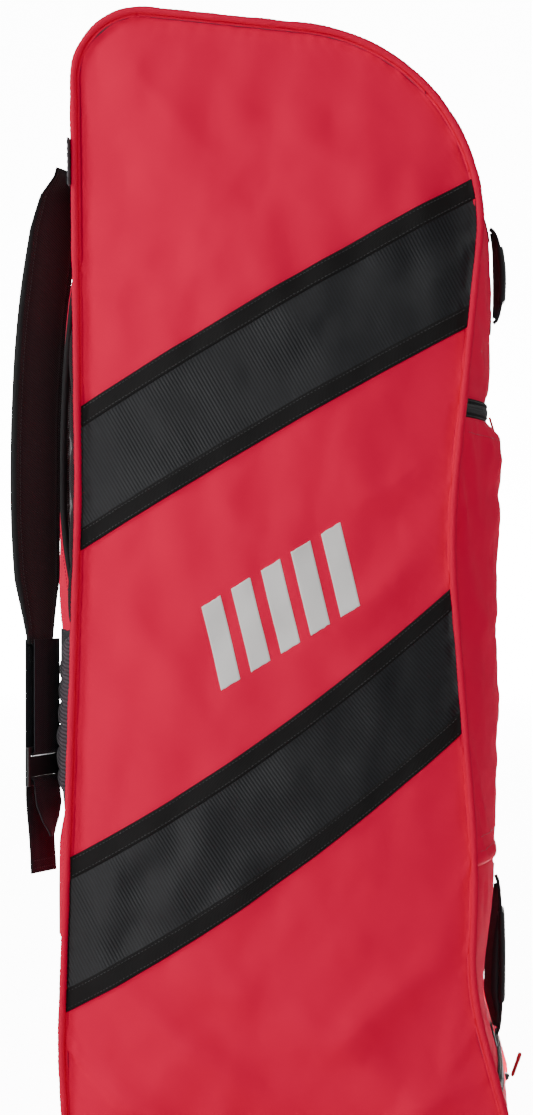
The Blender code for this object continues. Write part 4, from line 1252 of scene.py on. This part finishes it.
STRAP_HALF, STRAP_THICK, STRAP_LENGTH = 0.030, 0.012, 0.42
STRAP_TWIST = math.radians(26)
MIDDLE_TURN = {"near": 1.35, "far": 0.15}  # how far each hanging strap has turned at its middle
STRAP_Y = 0.090
STRAP_TOP = (-0.1820, 0.866)
STRAP_LINE = (
    STRAP_TOP,
    (-0.1900, 0.815),
    (-0.2010, 0.735),
    (-0.2065, 0.640),
    (-0.2065, 0.540),
    (-0.2030, 0.455),
)
LOCK_X, LOCK_TOP = -0.2010, 0.366
WING_TIP = (-0.1900, 0.106, 0.290)
LOCK_WIDTH, LOCK_HEIGHT, LOCK_THICK = 0.048, 0.034, 0.0042
LOCK_BAR = 0.0050
WEB_CLEARANCE = 0.0016
YOKE_HALF = 0.1462  # the yoke's ends are sewn over the piping
SELVEDGE = 0.45  # how thick webbing is at its edges beside its middle
# The lines of a sewn box with a cross, each from one (along, across) to another.
BOX_STITCH = (
    ((0, -1), (1, -1)),
    ((0, 1), (1, 1)),
    ((0, -1), (0, 1)),
    ((1, -1), (1, 1)),
    ((0, -1), (1, 1)),
    ((0, 1), (1, -1)),
)


def ribbon(name, path, half, thickness, wide, out):
    """Webbing swept along a path. half and thickness may change along it, and its selvedges are thinner."""
    count = len(path)
    w = np.array([-1, -0.94, -0.5, 0, 0.5, 0.94, 1])
    edges = np.array([SELVEDGE, 1, 1, 1, 1, 1, SELVEDGE])
    half, thickness = np.broadcast_to(half, count), np.broadcast_to(thickness, count)
    middle = path[:, None] + wide[:, None] * (w[None, :, None] * half[:, None, None])
    off = out[:, None] * (thickness[:, None] / 2 * edges[None])[..., None]
    uv = np.stack(np.broadcast_arrays(lengths_along(path)[:, None], w[None] * half[:, None]), -1)
    return slab(name, middle + off, middle - off, ["webbing"], uv, sharp=True)


def strap_wide(side, share):
    """The direction across a shoulder strap that has turned by this share of its twist."""
    turn = STRAP_TWIST * np.asarray(share, float)
    return np.stack([np.sin(turn), -side * np.cos(turn), 0 * turn], -1)


def outs_along(path, wides):
    return unit(np.cross(np.gradient(path, axis=0), wides))


def lock_place(side, out, z):
    """A point in the ladder lock's middle plane, from its distance out from the lock and its height."""
    away = np.array([-math.cos(STRAP_TWIST), -side * math.sin(STRAP_TWIST), 0.0])
    return np.array([LOCK_X, side * STRAP_Y, z]) + away * out


def round_bar(side, bar_z, radius, first, last, count=13):
    angles = np.radians(np.linspace(first, last, count))
    return [lock_place(side, radius * math.cos(a), bar_z + radius * math.sin(a)) for a in angles]


def sewn_box(path, wide, out, first, last, half, thickness):
    """Rows of stitches in a box with a cross, on a ribbon between two of its points."""
    here, there = path[first], path[last]
    share = np.linspace(0, 1, 12)[:, None]
    rows = []
    for start, end in BOX_STITCH:
        along = start[0] + (end[0] - start[0]) * share
        over = (start[1] + (end[1] - start[1]) * share) * half * 0.8
        row = here * (1 - along) + there * along + wide[first] * over + out[first] * (thickness / 2 + 0.0002)
        rows.append((row, np.repeat(out[first][None], 12, 0)))
    return rows


def make_yoke():
    """The webbing that the straps hang from, sewn across the back with ribbed grey ends."""
    first, last = on_back(0.846), on_back(0.886)
    s_grid, w = np.meshgrid(steps(first, last, 0.0011), steps(-YOKE_HALF, YOKE_HALF, 0.0012), indexing="ij")
    y = np.clip(w, 0.0010 - HALF_WIDTH, HALF_WIDTH - 0.0010)
    climb = np.clip((np.abs(w) - 0.1290) / 0.0080, 0, 1)
    over_piping = 0.0054 * eased(climb)
    ridges = 0.0004 * np.abs(np.sin(math.pi * (s_grid - first) / 0.0055))
    top, _ = GUSSET.at(s_grid, y, SEWN_LIFT + 0.0012 + ridges + over_piping)
    bottom, _ = GUSSET.at(s_grid, y, SEWN_LIFT - 0.0001 + over_piping)
    for grid in (top, bottom):
        grid[..., 1] += w - y
    made = slab("yoke_webbing_ribbed", top, bottom, ["grey_webbing"], np.stack([w, s_grid], -1))
    piece(made, "bag", "yoke_webbing", slot="webbing")
    y = steps(-0.126, 0.126, 0.0030)
    rows = [GUSSET.at(s_row, y, SEWN_LIFT + 0.0015) for s_row in (first + 0.003, last - 0.003)]
    sew("yoke_stitches", rows, "black_thread", "bag")


def make_wing(side_name, side):
    """A corner of red cloth drawn out to where a strap's lower webbing is sewn to it."""
    _, tip_y, _ = WING_TIP
    first, last = on_back(0.205), on_back(0.318)
    s, v = np.meshgrid(steps(first, last, 0.0035), np.linspace(-1, 1, 25), indexing="ij")
    u = (s - first) / (last - first)
    y = side * (tip_y + v * (0.0310 - 0.0140 * u))
    ridge = np.sqrt(np.clip(1 - v**2, 0, 1)) * 0.6 + 0.4 * np.clip(1 - np.abs(v), 0, 1)
    tip = ridge * np.clip((1 - u) / 0.30, 0, 1) ** 0.7 * (0.55 + 0.45 * u)
    folds = 0.0004 * np.sin(2 * math.pi * (v * 2.2 + u)) * tip
    high = SEWN_LIFT + 0.0016 + 0.0080 * tip + folds
    top, normals = GUSSET.at(s, y, high)
    bottom, _ = GUSSET.at(s, y, SEWN_LIFT - 0.0001)
    made = slab(f"strap_wing_{side_name}_cloth", top, bottom, ["red_fabric"], np.stack([s, y], -1))
    piece(made, "bag", f"strap_wing_{side_name}", slot="red_fabric")
    rows = [(top[2:-2, k] + normals[2:-2, k] * 0.0001, normals[2:-2, k]) for k in (2, -3)]
    sew(f"strap_wing_{side_name}_stitches", rows, "red_thread", "bag")


def make_strap_pad(side_name, side):
    """A foam strap: red cloth outside, open mesh on the side that is worn, and bound edges."""
    line = smooth_line([(x, 0.0, z) for x, z in STRAP_LINE], 0.004)
    path = evenly(line, 0.004) + np.array([0, side * STRAP_Y, 0])
    count = len(path)
    along = np.linspace(0, 1, count)
    to_end = np.clip((1 - along) / 0.30, 0, 1)
    turned = 1 + (MIDDLE_TURN[side_name] - 1) * eased(to_end)
    wide = strap_wide(side, turned * np.clip(along / 0.06, 0.3, 1))
    out = outs_along(path, wide) * -side  # towards the wearer's side of the strap
    from_top, to_foot = 14 * along, 14 * (1 - along)
    half = np.minimum(0.0190 + 0.0060 * from_top, 0.0185 + 0.0060 * to_foot)
    half = np.minimum(half, STRAP_HALF) - 0.0006
    thick = np.minimum(0.0042 + 0.0022 * from_top, 0.0072 + 0.0030 * to_foot)
    thick = np.minimum(thick, STRAP_THICK)
    sides = 44
    sine = np.sin(circle(sides))
    w, t = boxy(np.cos(circle(sides)), 0.55), boxy(sine, 0.75)
    groove = 1 - 0.30 * np.exp(-(((np.abs(w) - 0.78) / 0.05) ** 2)) * (np.abs(t) > 0.3)
    along = along[:, None]
    waves = 1 + 0.05 * undulation(along * STRAP_LENGTH, w[None] * 0.03, 91, 0.03, 0.12)
    rings = (
        path[:, None]
        + wide[:, None] * (w[None] * half[:, None])[..., None]
        + out[:, None] * (t[None] * groove[None] * waves * (thick[:, None] / 2 - 0.0004))[..., None]
    )
    index = np.arange(count * sides).reshape(count, sides)
    beside = np.roll(index, -1, 1)
    quads = np.stack([index[:-1], beside[:-1], beside[1:], index[1:]], -1)
    turned = np.cross(rings[1, 1] - rings[1, 0], rings[2, 0] - rings[1, 0]) @ (rings[1, 0] - path[1])
    if turned < 0:
        quads = quads[..., ::-1]
    centre = (sine + np.roll(sine, -1)) / 2
    edge = np.abs((w + np.roll(w, -1)) / 2) > 0.90
    groups = [quads[:, (centre >= 0) & ~edge], quads[:, (centre < 0) & ~edge], quads[:, edge]]
    caps = [index[:1, ::-1], index[-1:]] if turned >= 0 else [index[:1], index[-1:, ::-1]]
    finishes = ["pad_mesh", "red_fabric", "binding"]
    faces = [group.reshape(-1, 4) for group in groups] + caps
    uv = np.stack(np.broadcast_arrays(along * STRAP_LENGTH, w[None] * half[:, None]), -1)
    made = build(f"strap_pad_{side_name}_padded", rings, faces, finishes, uv, (0, 1, 2, 2, 2))
    piece(made, f"strap_{side_name}", f"strap_pad_{side_name}", slot="pad_mesh")
    rows = []
    for place in (-0.80, 0.80):
        for face in (1, -1):
            row = path + wide * (place * half)[:, None] + out * (face * (thick / 2 * 0.80))[:, None]
            rows.append((row[6:-3], out[6:-3] * face))
    sew(f"strap_pad_{side_name}_stitches", rows, "black_thread", f"strap_{side_name}")


LOCK_RADIUS = LOCK_THICK / 2 + WEBBING / 2 + WEB_CLEARANCE  # of the webbing's turns round its bars
TOP_BAR, LOW_BAR = LOCK_TOP - LOCK_BAR / 2, LOCK_TOP - LOCK_HEIGHT + LOCK_BAR / 2
WEB_HALF = WEBBING_WIDTH / 2


def make_strap_loop(side_name, side):
    """The loop of webbing from the pad round the lock's upper bar."""
    body = f"strap_{side_name}"
    pad_end = STRAP_LINE[-1][1] + 0.004
    heights = (pad_end, (pad_end + TOP_BAR) / 2, TOP_BAR + 0.004)
    loop = [lock_place(side, LOCK_RADIUS, z) for z in heights]
    loop += round_bar(side, TOP_BAR, LOCK_RADIUS, 0, -180)
    loop += [lock_place(side, -LOCK_RADIUS, z) for z in reversed(heights)]
    path = evenly(smooth_line(loop, 0.0015), 0.0022)
    wide = strap_wide(side, np.ones(len(path)))
    out = outs_along(path, wide)
    made = ribbon(f"strap_loop_{side_name}_webbing", path, WEB_HALF, WEBBING, wide, out)
    piece(made, body, f"strap_loop_{side_name}", slot="webbing")
    rows = []
    for first, last in ((1, 9), (len(path) - 10, len(path) - 2)):
        rows += sewn_box(path, wide, out, first, last, WEB_HALF, WEBBING)
    sew(f"strap_loop_{side_name}_stitches", rows, "black_thread", body)


def make_strap_run(side_name, side):
    """The webbing from the wing round the lock's lower bar."""
    x, y, z = WING_TIP
    tip = np.array([x, side * y, z])
    bar_side = lock_place(side, -LOCK_RADIUS, LOW_BAR - 0.003)
    turn = round_bar(side, LOW_BAR, LOCK_RADIUS, 180, 0)[1:]
    path = evenly(smooth_line([tip, tip * 0.6 + bar_side * 0.4, bar_side, *turn], 0.0015), 0.0022)
    reach = np.linspace(0, 1, len(path))
    wide = strap_wide(side, np.clip(reach * 2.2, 0, 1))
    halves = np.minimum(WEB_HALF, 0.010 + 0.022 * reach * 2)
    made = ribbon(f"strap_webbing_{side_name}_run", path, halves, WEBBING, wide, outs_along(path, wide))
    piece(made, f"strap_{side_name}", f"strap_webbing_{side_name}", slot="webbing")


def make_strap_tail(side_name, side):
    """The loose end that hangs from the lock, hemmed so that it can't run back through."""
    line = (LOCK_RADIUS, LOW_BAR - 0.0008), (LOCK_RADIUS - 0.0005, 0.316), (0.001, 0.285), (-0.001, 0.256)
    path = evenly(smooth_line([lock_place(side, off, z) for off, z in line], 0.0015), 0.0022)
    wide = strap_wide(side, np.ones(len(path)))
    out = outs_along(path, wide)
    thickness = np.full(len(path), WEBBING)
    thickness[-6:] = WEBBING * 1.5  # the hem
    made = ribbon(f"strap_tail_{side_name}_webbing", path, WEB_HALF - 0.0002, thickness, wide, out)
    piece(made, f"tail_{side_name}", f"strap_tail_{side_name}", slot="webbing")
    rows = []
    for place, face in ((-3, 1), (-3, -1), (-6, 1), (-6, -1)):
        over = np.linspace(-0.85, 0.85, 14)[:, None] * WEB_HALF
        row = path[place] + wide[place] * over + out[place] * face * (WEBBING * 0.75 + 0.0001)
        rows.append((row, np.repeat(out[place][None] * face, 14, 0)))
    sew(f"strap_tail_{side_name}_stitches", rows, "black_thread", f"tail_{side_name}")


def rounded(made, width):
    """Rounds a piece's sharp edges."""
    built = bmesh.new()
    built.from_mesh(made.data)
    bmesh.ops.recalc_face_normals(built, faces=built.faces)
    sharp = [edge for edge in built.edges if len(edge.link_faces) == 2 and edge.calc_face_angle() > 0.5]
    style = {"segments": 3, "profile": 0.5, "affect": "EDGES", "clamp_overlap": True}
    bmesh.ops.bevel(built, geom=sharp, offset=width, **style)
    built.to_mesh(made.data)
    built.free()
    made.data.shade_smooth()
    return made


def make_ladder_lock(side_name, side):
    """A moulded frame with two slots, thicker at its middle bar, where its teeth grip the webbing."""
    rail = (LOCK_WIDTH - WEBBING_WIDTH - 0.0020) / 2
    columns = np.array([-LOCK_WIDTH / 2, rail - LOCK_WIDTH / 2, LOCK_WIDTH / 2 - rail, LOCK_WIDTH / 2])
    slot, spare = WEBBING + 0.0004, 0.0002
    bar = (LOCK_BAR + LOCK_THICK) / 2 + WEB_CLEARANCE - spare
    rows = np.cumsum([0.0, bar, slot, LOCK_HEIGHT - 2 * (bar + slot), slot, bar])
    wide = strap_wide(side, 1.0)
    faces = []
    for t in (1, -1):
        off = t * LOCK_THICK / 2
        places = np.array([lock_place(side, off, LOCK_TOP - LOCK_HEIGHT + row) for row in rows])
        faces.append(places[:, None] + wide * columns[None, :, None])
    keep = np.ones((5, 3), bool)
    keep[[1, 3], 1] = False
    uv = np.zeros((6, 4, 2))
    made = slab(f"ladder_lock_{side_name}_moulded", *faces, ["moulded_plastic"], uv, keep)
    piece(rounded(made, 0.0012), f"strap_{side_name}", f"ladder_lock_{side_name}", slot="moulded_plastic")


# ---------------------------------------------------------------- handles

HANDLE_HALF, HANDLE_END_HALF, GRIP_HALF = 0.0160, 0.0065, 0.0185
HANDLE_LIFT, HANDLE_END_LIFT = 0.0055, 0.0036  # of the line it swings on, and of its sewn ends
HANDLE_REACH = {"upper": 0.0075, "lower": 0.0030}
HANDLE_THICK = 0.0028
HANDLE_POINTS = 81
GRIP_START, GRIP_END = 0.2, 0.8  # shares of the handle's length
GRIP_LENGTH = 0.15  # for the scale of its fabric
HANDLE_SHARE = np.linspace(0, 1, HANDLE_POINTS)
HANDLE_WIDE = np.repeat(np.array([[0.0, 1.0, 0.0]]), HANDLE_POINTS, 0)


def handle_path(which):
    """A handle's middle line, with its outward directions along it and the one way it stands off."""
    t = HANDLE_SHARE[:, None]
    ends = [gusset_shape(on_front(z), 0.0, HANDLE_LIFT) for z in HANDLE_ENDS[which]]
    away = unit(np.cross([0, 1, 0], ends[1] - ends[0]))
    sewn = (HANDLE_LIFT - HANDLE_END_LIFT) * np.exp(-np.minimum(t, 1 - t) / 0.05)
    arch = HANDLE_REACH[which] * np.sin(math.pi * t) ** 0.6
    path = ends[0] * (1 - t) + ends[1] * t + away * (arch - sewn)
    out = outs_along(path, HANDLE_WIDE)
    return path, out * np.sign(out[:, :1]), away


def make_handle(which):
    """A webbing arch, folded narrow at its sewn ends, with a padded grip closed round its middle."""
    path, out, away = handle_path(which)
    widening = np.minimum(1, 2.2 * np.sin(math.pi * HANDLE_SHARE))
    half = HANDLE_END_HALF + (HANDLE_HALF - HANDLE_END_HALF) * widening
    made = ribbon(f"{which}_handle_webbing_woven", path, half, HANDLE_THICK, HANDLE_WIDE, out)
    body = f"{which}_handle"
    piece(made, body, f"{which}_handle_webbing", slot="webbing")
    rows = []
    for first, last in ((2, 8), (-9, -3)):
        rows += sewn_box(path, HANDLE_WIDE, out, first, last, 0.007, HANDLE_THICK)
    sew(f"{which}_handle_stitches", rows, "black_thread", body)
    for end, z in zip(("low", "high"), HANDLE_ENDS[which]):
        s, y = np.linspace(-0.011, 0.011, 7) + on_front(z), np.linspace(-0.010, 0.010, 11)
        lift = np.maximum(SEWN_LIFT + 0.0003, 0.0018 - 0.30 * np.abs(y))
        name = f"{which}_handle_{end}_patch"
        piece(gusset_slab(name, s, y, SEWN_LIFT - 0.0002, lift, ["webbing"]), "bag")
    # padding that also fills the handle's gap with dark cloth in place of its shade
    make_handle_foam_and_shade_filler(which, path, out, away, half)
    make_grip(which, path, out)


def make_handle_foam_and_shade_filler(which, path, out, away, half):
    """A wedge of foam under the webbing that fills the gap down to near the bag: padding, and a dark stand-in
    for the shade in that gap. Its sides slope so that it clears the bag as it rocks.
    """
    inner = slice(4, -4)
    under, _ = GUSSET.at(np.array([on_front(z) for z in path[:, 2]]), 0.0)
    room = ((path - under) @ away - 0.0026)[inner, None]
    w = np.linspace(-0.94, 0.94, 13)[None] * half[inner, None]
    depth = np.clip(room - 0.45 * np.abs(w), 0.0014, None)
    middle = path[inner, None] + HANDLE_WIDE[inner, None] * w[..., None]
    uv = np.stack(np.broadcast_arrays(HANDLE_SHARE[inner, None] * GRIP_LENGTH, w), -1)
    top, bottom = middle - out[inner, None] * 0.0010, middle - away * depth[..., None]
    piece(slab(f"{which}_handle_foam_and_shade_filler", top, bottom, ["grip_fabric"], uv), f"{which}_handle")


def make_grip(which, path, out):
    """The padded grip, with a seam along its outside and a row of stitches on each side of that."""
    first, last = math.ceil(GRIP_START * HANDLE_POINTS), math.floor(GRIP_END * HANDLE_POINTS)
    grip = slice(first, last)
    t, body = HANDLE_SHARE[grip, None], f"{which}_handle"
    angle = circle(32)[None]
    w = boxy(np.cos(angle), 0.5) * GRIP_HALF
    to_end = np.minimum(t - HANDLE_SHARE[first], HANDLE_SHARE[last] - t)
    thickness = 0.0026 + 0.0009 * np.clip(to_end / 0.02, 0, 1)
    gathers = 0.0002 * undulation(t * GRIP_LENGTH, w, 95, 0.01, 0.04)
    seam = 1 - 0.22 * np.exp(-((w / 0.0012) ** 2)) * (np.sin(angle) > 0)
    up = boxy(np.sin(angle), 0.7) * (thickness + gathers) * seam
    rings = path[grip, None] + HANDLE_WIDE[grip, None] * w[..., None] + out[grip, None] * up[..., None]
    uv = np.stack(np.broadcast_arrays(t * GRIP_LENGTH, w), -1)
    made = tube(f"{which}_handle_grip_padded", rings, ["grip_fabric"], uv)
    piece(made, body, f"{which}_handle_grip", slot="grip_fabric")
    rows = []
    for place in (-0.0032, 0.0032):
        row = path[grip] + HANDLE_WIDE[grip] * place + out[grip] * 0.0035
        rows.append((row[2:-2], out[grip][2:-2]))
    sew(f"{which}_handle_grip_stitches", rows, "black_thread", body)


# ---------------------------------------------------------------- zip sliders and pullers

SLIDER_SIZE = (0.0120, 0.0056, 0.0040)
POCKET_SLIDER_Y, LOWER_SLIDER_Y = 0.085, -0.085
TOP_PULLER, POCKET_PULLER = (0.034, 0.0050, 0.0026), (0.034, 0.0090, 0.0026)
LOWER_PULLER = (0.022, 0.0090, 0.0034)


def placed(name, points, faces, centre, along, out, finish):
    """A shape with x along, y across and z out, set at a place."""
    along, out = unit(along), unit(out)
    frame_rows = np.stack([along, np.cross(out, along), out])
    return build(name, np.asarray(points) @ frame_rows + centre, faces, [finish])


def block_shape(sizes, centre=(0, 0, 0), taper=1.0):
    """A block whose far end is narrower by a taper."""
    points, faces = [], [(0, 1, 3, 2), (4, 6, 7, 5), (0, 4, 5, 1), (1, 5, 7, 3), (3, 7, 6, 2), (2, 6, 4, 0)]
    for x in (-1, 1):
        for y in (-1, 1):
            for z in (-1, 1):
                width = taper if x > 0 else 1.0
                points.append([x * sizes[0] / 2, y * sizes[1] / 2 * width, z * sizes[2] / 2])
    return np.array(points) + np.array(centre), [np.array(faces)]


def make_slider(name, station, y, along, lift, puller_size, puller_dir):
    """A slider with its bridge, and its puller."""
    place = gusset_shape(station, y, 0.0)
    out = unit(gusset_shape(station, y, 0.01) - place)
    along = unit(along - out * (along @ out))
    centre = place + out * (lift + SLIDER_SIZE[2] / 2)
    length, width, height = SLIDER_SIZE
    parts = [
        block_shape((length, width, height * 0.42), (0, 0, -height * 0.28), 0.72),
        block_shape((length * 0.86, width * 0.80, height * 0.34), (0, 0, height * 0.06), 0.70),
        block_shape((length * 0.66, width * 0.34, height * 0.26), (0, 0, height * 0.35), 1.0),
    ]
    points = np.vstack([part[0] for part in parts])
    faces = [part[1][0] + 8 * k for k, part in enumerate(parts)]
    made = placed(f"{name}_slider_body", points, faces, centre, along, out, "zip_metal")
    piece(rounded(made, 0.0005), f"{name}_slider", f"{name}_slider", slot="zip_metal")

    hinge = centre + out * (height / 2 + puller_size[2] / 2 + 0.0010)
    make_puller(f"{name}_puller", hinge, out, puller_size, unit(np.array(puller_dir, float)))


def make_puller(name, hinge, out, size, away):
    """A loop of cord with a moulded end."""
    long, wide, thick = size
    out = unit(out - away * (out @ away))
    cord = thick / 2 * 0.88
    middle, reach = long / 2 - 0.002, long / 2 - cord
    turn = circle(40)
    loop_x = middle + boxy(np.cos(turn), 0.45) * reach
    loop_y = boxy(np.sin(turn), 0.8) * (wide / 2 - cord)
    line = hinge + loop_x[:, None] * away + loop_y[:, None] * np.cross(out, away)
    ahead = unit(np.roll(line, -1, 0) - np.roll(line, 1, 0))
    sideways = unit(np.cross(ahead, out))
    angle = circle(10)[None, :, None]
    rings = line[:, None] + sideways[:, None] * np.cos(angle) * cord + out * np.sin(angle) * cord
    uv = np.stack(np.broadcast_arrays(turn[:, None] * 0.004, angle[..., 0] * cord), -1)
    made = tube(name + "_cord", rings, ["puller_cord"], uv, closed=True)
    piece(made, name, name, slot="puller_cord")
    grip_points, grip_faces = block_shape((long * 0.36, wide * 0.98, thick * 0.96), (0, 0, 0), 0.8)
    grip_centre = hinge + away * (long - 0.002 - long * 0.19)
    made = placed(name + "_end", grip_points, grip_faces, grip_centre, away, out, "puller_cord")
    piece(rounded(made, thick * 0.3), name)


def make_sliders():
    top = on_top(-0.086)
    points = gusset_shape([top, on_top(0.0)], 0.0, 0.0)
    along_top = points[1] - points[0]
    for side_name, side in SIDES.items():
        middle = side * (ZIP_SPLIT + ZIP_OUTER) / 2
        make_slider(f"main_zip_{side_name}", top, middle, along_top, 0.0006, TOP_PULLER, along_top)
    across_bag = np.array([0.0, 1.0, 0.0])
    tape = SEWN_LIFT + ZIP_THICK
    pocket = on_front((POCKET_ZIP_TOP + POCKET_TOP) / 2)
    down, up = (0.30, 0, -1), (0.35, 0, 1)
    make_slider("pocket_zip", pocket, POCKET_SLIDER_Y, across_bag, tape + 0.0018, POCKET_PULLER, down)
    lower = on_front(sum(LOWER_ZIP) / 2)
    make_slider("lower_zip", lower, LOWER_SLIDER_Y, across_bag, tape + 0.0017, LOWER_PULLER, up)


# ---------------------------------------------------------------- inside the bag

DIVIDER_X = -0.0805


def make_inside():
    """The stick compartment's divider, which hangs slack from the panels, and the boards' finishes."""
    half_y, thick = 0.1395, 0.0012
    y, z = np.meshgrid(steps(-half_y, half_y, 0.006), steps(0.0145, 0.8990, 0.012), indexing="ij")
    slack = 0.0030 * undulation(y, z, 97, 0.08, 0.3) * np.clip((half_y - np.abs(y)) / 0.03, 0, 1)
    top = np.stack([DIVIDER_X + slack + thick / 2, y, z], -1)
    bottom = top - np.array([thick, 0, 0])
    made = slab("stick_divider_cloth", top, bottom, ["lining"], np.stack([y, z], -1))
    piece(made, "bag", "stick_divider", slot="lining")
    for name in ("frame_sheet", "base_board"):
        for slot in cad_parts[name].material_slots:
            slot.material = FINISHES["board"]


make_main_flap()
make_base()
make_main_zip()
make_cross_zip("front_pocket_zip", POCKET_TOP, POCKET_ZIP_TOP, POCKET_HALF)
make_cross_zip("lower_zip", LOWER_ZIP[1], LOWER_ZIP[0], 0.121)
make_front_pocket()
for pad_name in BACK_PADS:
    make_back_pad(pad_name)
make_yoke()
for side_name, side in SIDES.items():
    make_wing(side_name, side)
    make_strap_pad(side_name, side)
    make_strap_loop(side_name, side)
    make_strap_run(side_name, side)
    make_strap_tail(side_name, side)
    make_ladder_lock(side_name, side)
for which in HANDLE_ENDS:
    make_handle(which)
make_sliders()
make_inside()


# ---------------------------------------------------------------- studio

VIEW_HEIGHT = 0.9366  # metres of the near panel that the photo's height takes in
CAMERA_DISTANCE, CAMERA_AZIMUTH, CAMERA_ELEVATION = 2.2, math.radians(4.0), math.radians(1.0)
AIM = Vector((-0.0010, -0.155, 0.531))
STUDIO_WHITE = (0.86, 0.86, 0.86, 1)
WORLD_STRENGTH, BACKDROP_GLOW = 0.16, 12.0
# The glow starts behind the camera's side of the bag, between two y, and stops past two slopes off its axis.
GLOW_STARTS, GLOW_ENDS = (0.0, 0.04), (0.165, 0.125)
# Half width, y and z of the sweep's near edge, its far edge and the backdrop's top.
SWEEP_EDGES = ((0.50, -0.02, 0.0003), (2.10, 6.6, 0.002), (2.10, 6.6, 2.8))


def make_camera():
    data = bpy.data.cameras.new("camera")
    camera = bpy.data.objects.new("camera", data)
    bpy.context.scene.collection.objects.link(camera)
    away = Vector((
        math.sin(CAMERA_AZIMUTH) * math.cos(CAMERA_ELEVATION),
        -math.cos(CAMERA_AZIMUTH) * math.cos(CAMERA_ELEVATION),
        math.sin(CAMERA_ELEVATION),
    ))
    camera.location = AIM + away * CAMERA_DISTANCE
    camera.rotation_mode = "QUATERNION"
    camera.rotation_quaternion = (-away).to_track_quat("-Z", "Y")
    data.lens = data.sensor_width * CAMERA_DISTANCE / VIEW_HEIGHT
    bpy.context.scene.camera = camera


def area_light(name, place, size, power, target=(0, 0, 0.5)):
    data = bpy.data.lights.new(name, "AREA")
    data.energy, data.size = power, size
    light = bpy.data.objects.new(name, data)
    light.location = place
    light.rotation_mode = "QUATERNION"
    light.rotation_quaternion = (Vector(target) - Vector(place)).to_track_quat("-Z", "Y")
    bpy.context.scene.collection.objects.link(light)


def stage_sheet(name, corners):
    """A flat sheet of the studio's, in the finish of its name or the backdrop's."""
    mesh = bpy.data.meshes.new(name)
    mesh.from_pydata(corners, [], [(0, 1, 2, 3)])
    link(name, mesh, [name if name in FINISHES else "backdrop"])


def make_backdrop():
    """A white sweep and backdrop that glow, but only where the camera sees them."""
    glow = Finish("backdrop", 0.7)
    glow.shader.inputs["Base Color"].default_value = STUDIO_WHITE
    glow.shader.inputs["Emission Color"].default_value = (1, 1, 1, 1)
    split = glow.node("ShaderNodeSeparateXYZ", [(0, glow.node("ShaderNodeTexCoord").outputs["Object"])])
    x, y = split.outputs[0], split.outputs[1]
    off_axis = glow.sum("ABSOLUTE", glow.sum("ADD", x, glow.sum("MULTIPLY", y, math.tan(CAMERA_AZIMUTH))))
    sideways = glow.sum("DIVIDE", off_axis, glow.sum("ADD", y, CAMERA_DISTANCE))
    share = BACKDROP_GLOW
    for value, dark, bright in ((y, *GLOW_STARTS), (sideways, *GLOW_ENDS)):
        share = glow.sum("MULTIPLY", glow.share(value, dark, bright, interpolation_type="SMOOTHSTEP"), share)
    glow.tree.links.new(share, glow.shader.inputs["Emission Strength"])
    FINISHES["backdrop"] = glow.material
    near, far, top = ([(-x, y, z), (x, y, z)] for x, y, z in SWEEP_EDGES)
    stage_sheet("floor_sweep", [*near, *reversed(far)])
    stage_sheet("backdrop", [*far, *reversed(top)])


def make_studio():
    floor = Finish("floor", 0.7)
    floor.shader.inputs["Base Color"].default_value = STUDIO_WHITE
    FINISHES["floor"] = floor.material
    half = 4.0
    stage_sheet("floor", [(-half, -half, 0), (half, -half, 0), (half, half, 0), (-half, half, 0)])
    world = bpy.data.worlds.new("studio")
    world.use_nodes = True
    world.node_tree.nodes["Background"].inputs["Color"].default_value = (1, 1, 1, 1)
    world.node_tree.nodes["Background"].inputs["Strength"].default_value = WORLD_STRENGTH
    bpy.context.scene.world = world
    area_light("key", (-2.4, -1.0, 2.0), 0.8, 46.0)
    area_light("strip", (-1.45, -2.2, 0.26), 0.5, 15.0, target=(-0.1, 0, 0.25))
    area_light("fill", (0.9, -2.7, 2.3), 1.6, 27.0, target=(0, 0, 0.38))
    area_light("rim", (1.9, 1.2, 1.6), 1.2, 10.0)
    make_backdrop()


make_camera()
make_studio()

bpy.context.view_layer.update()
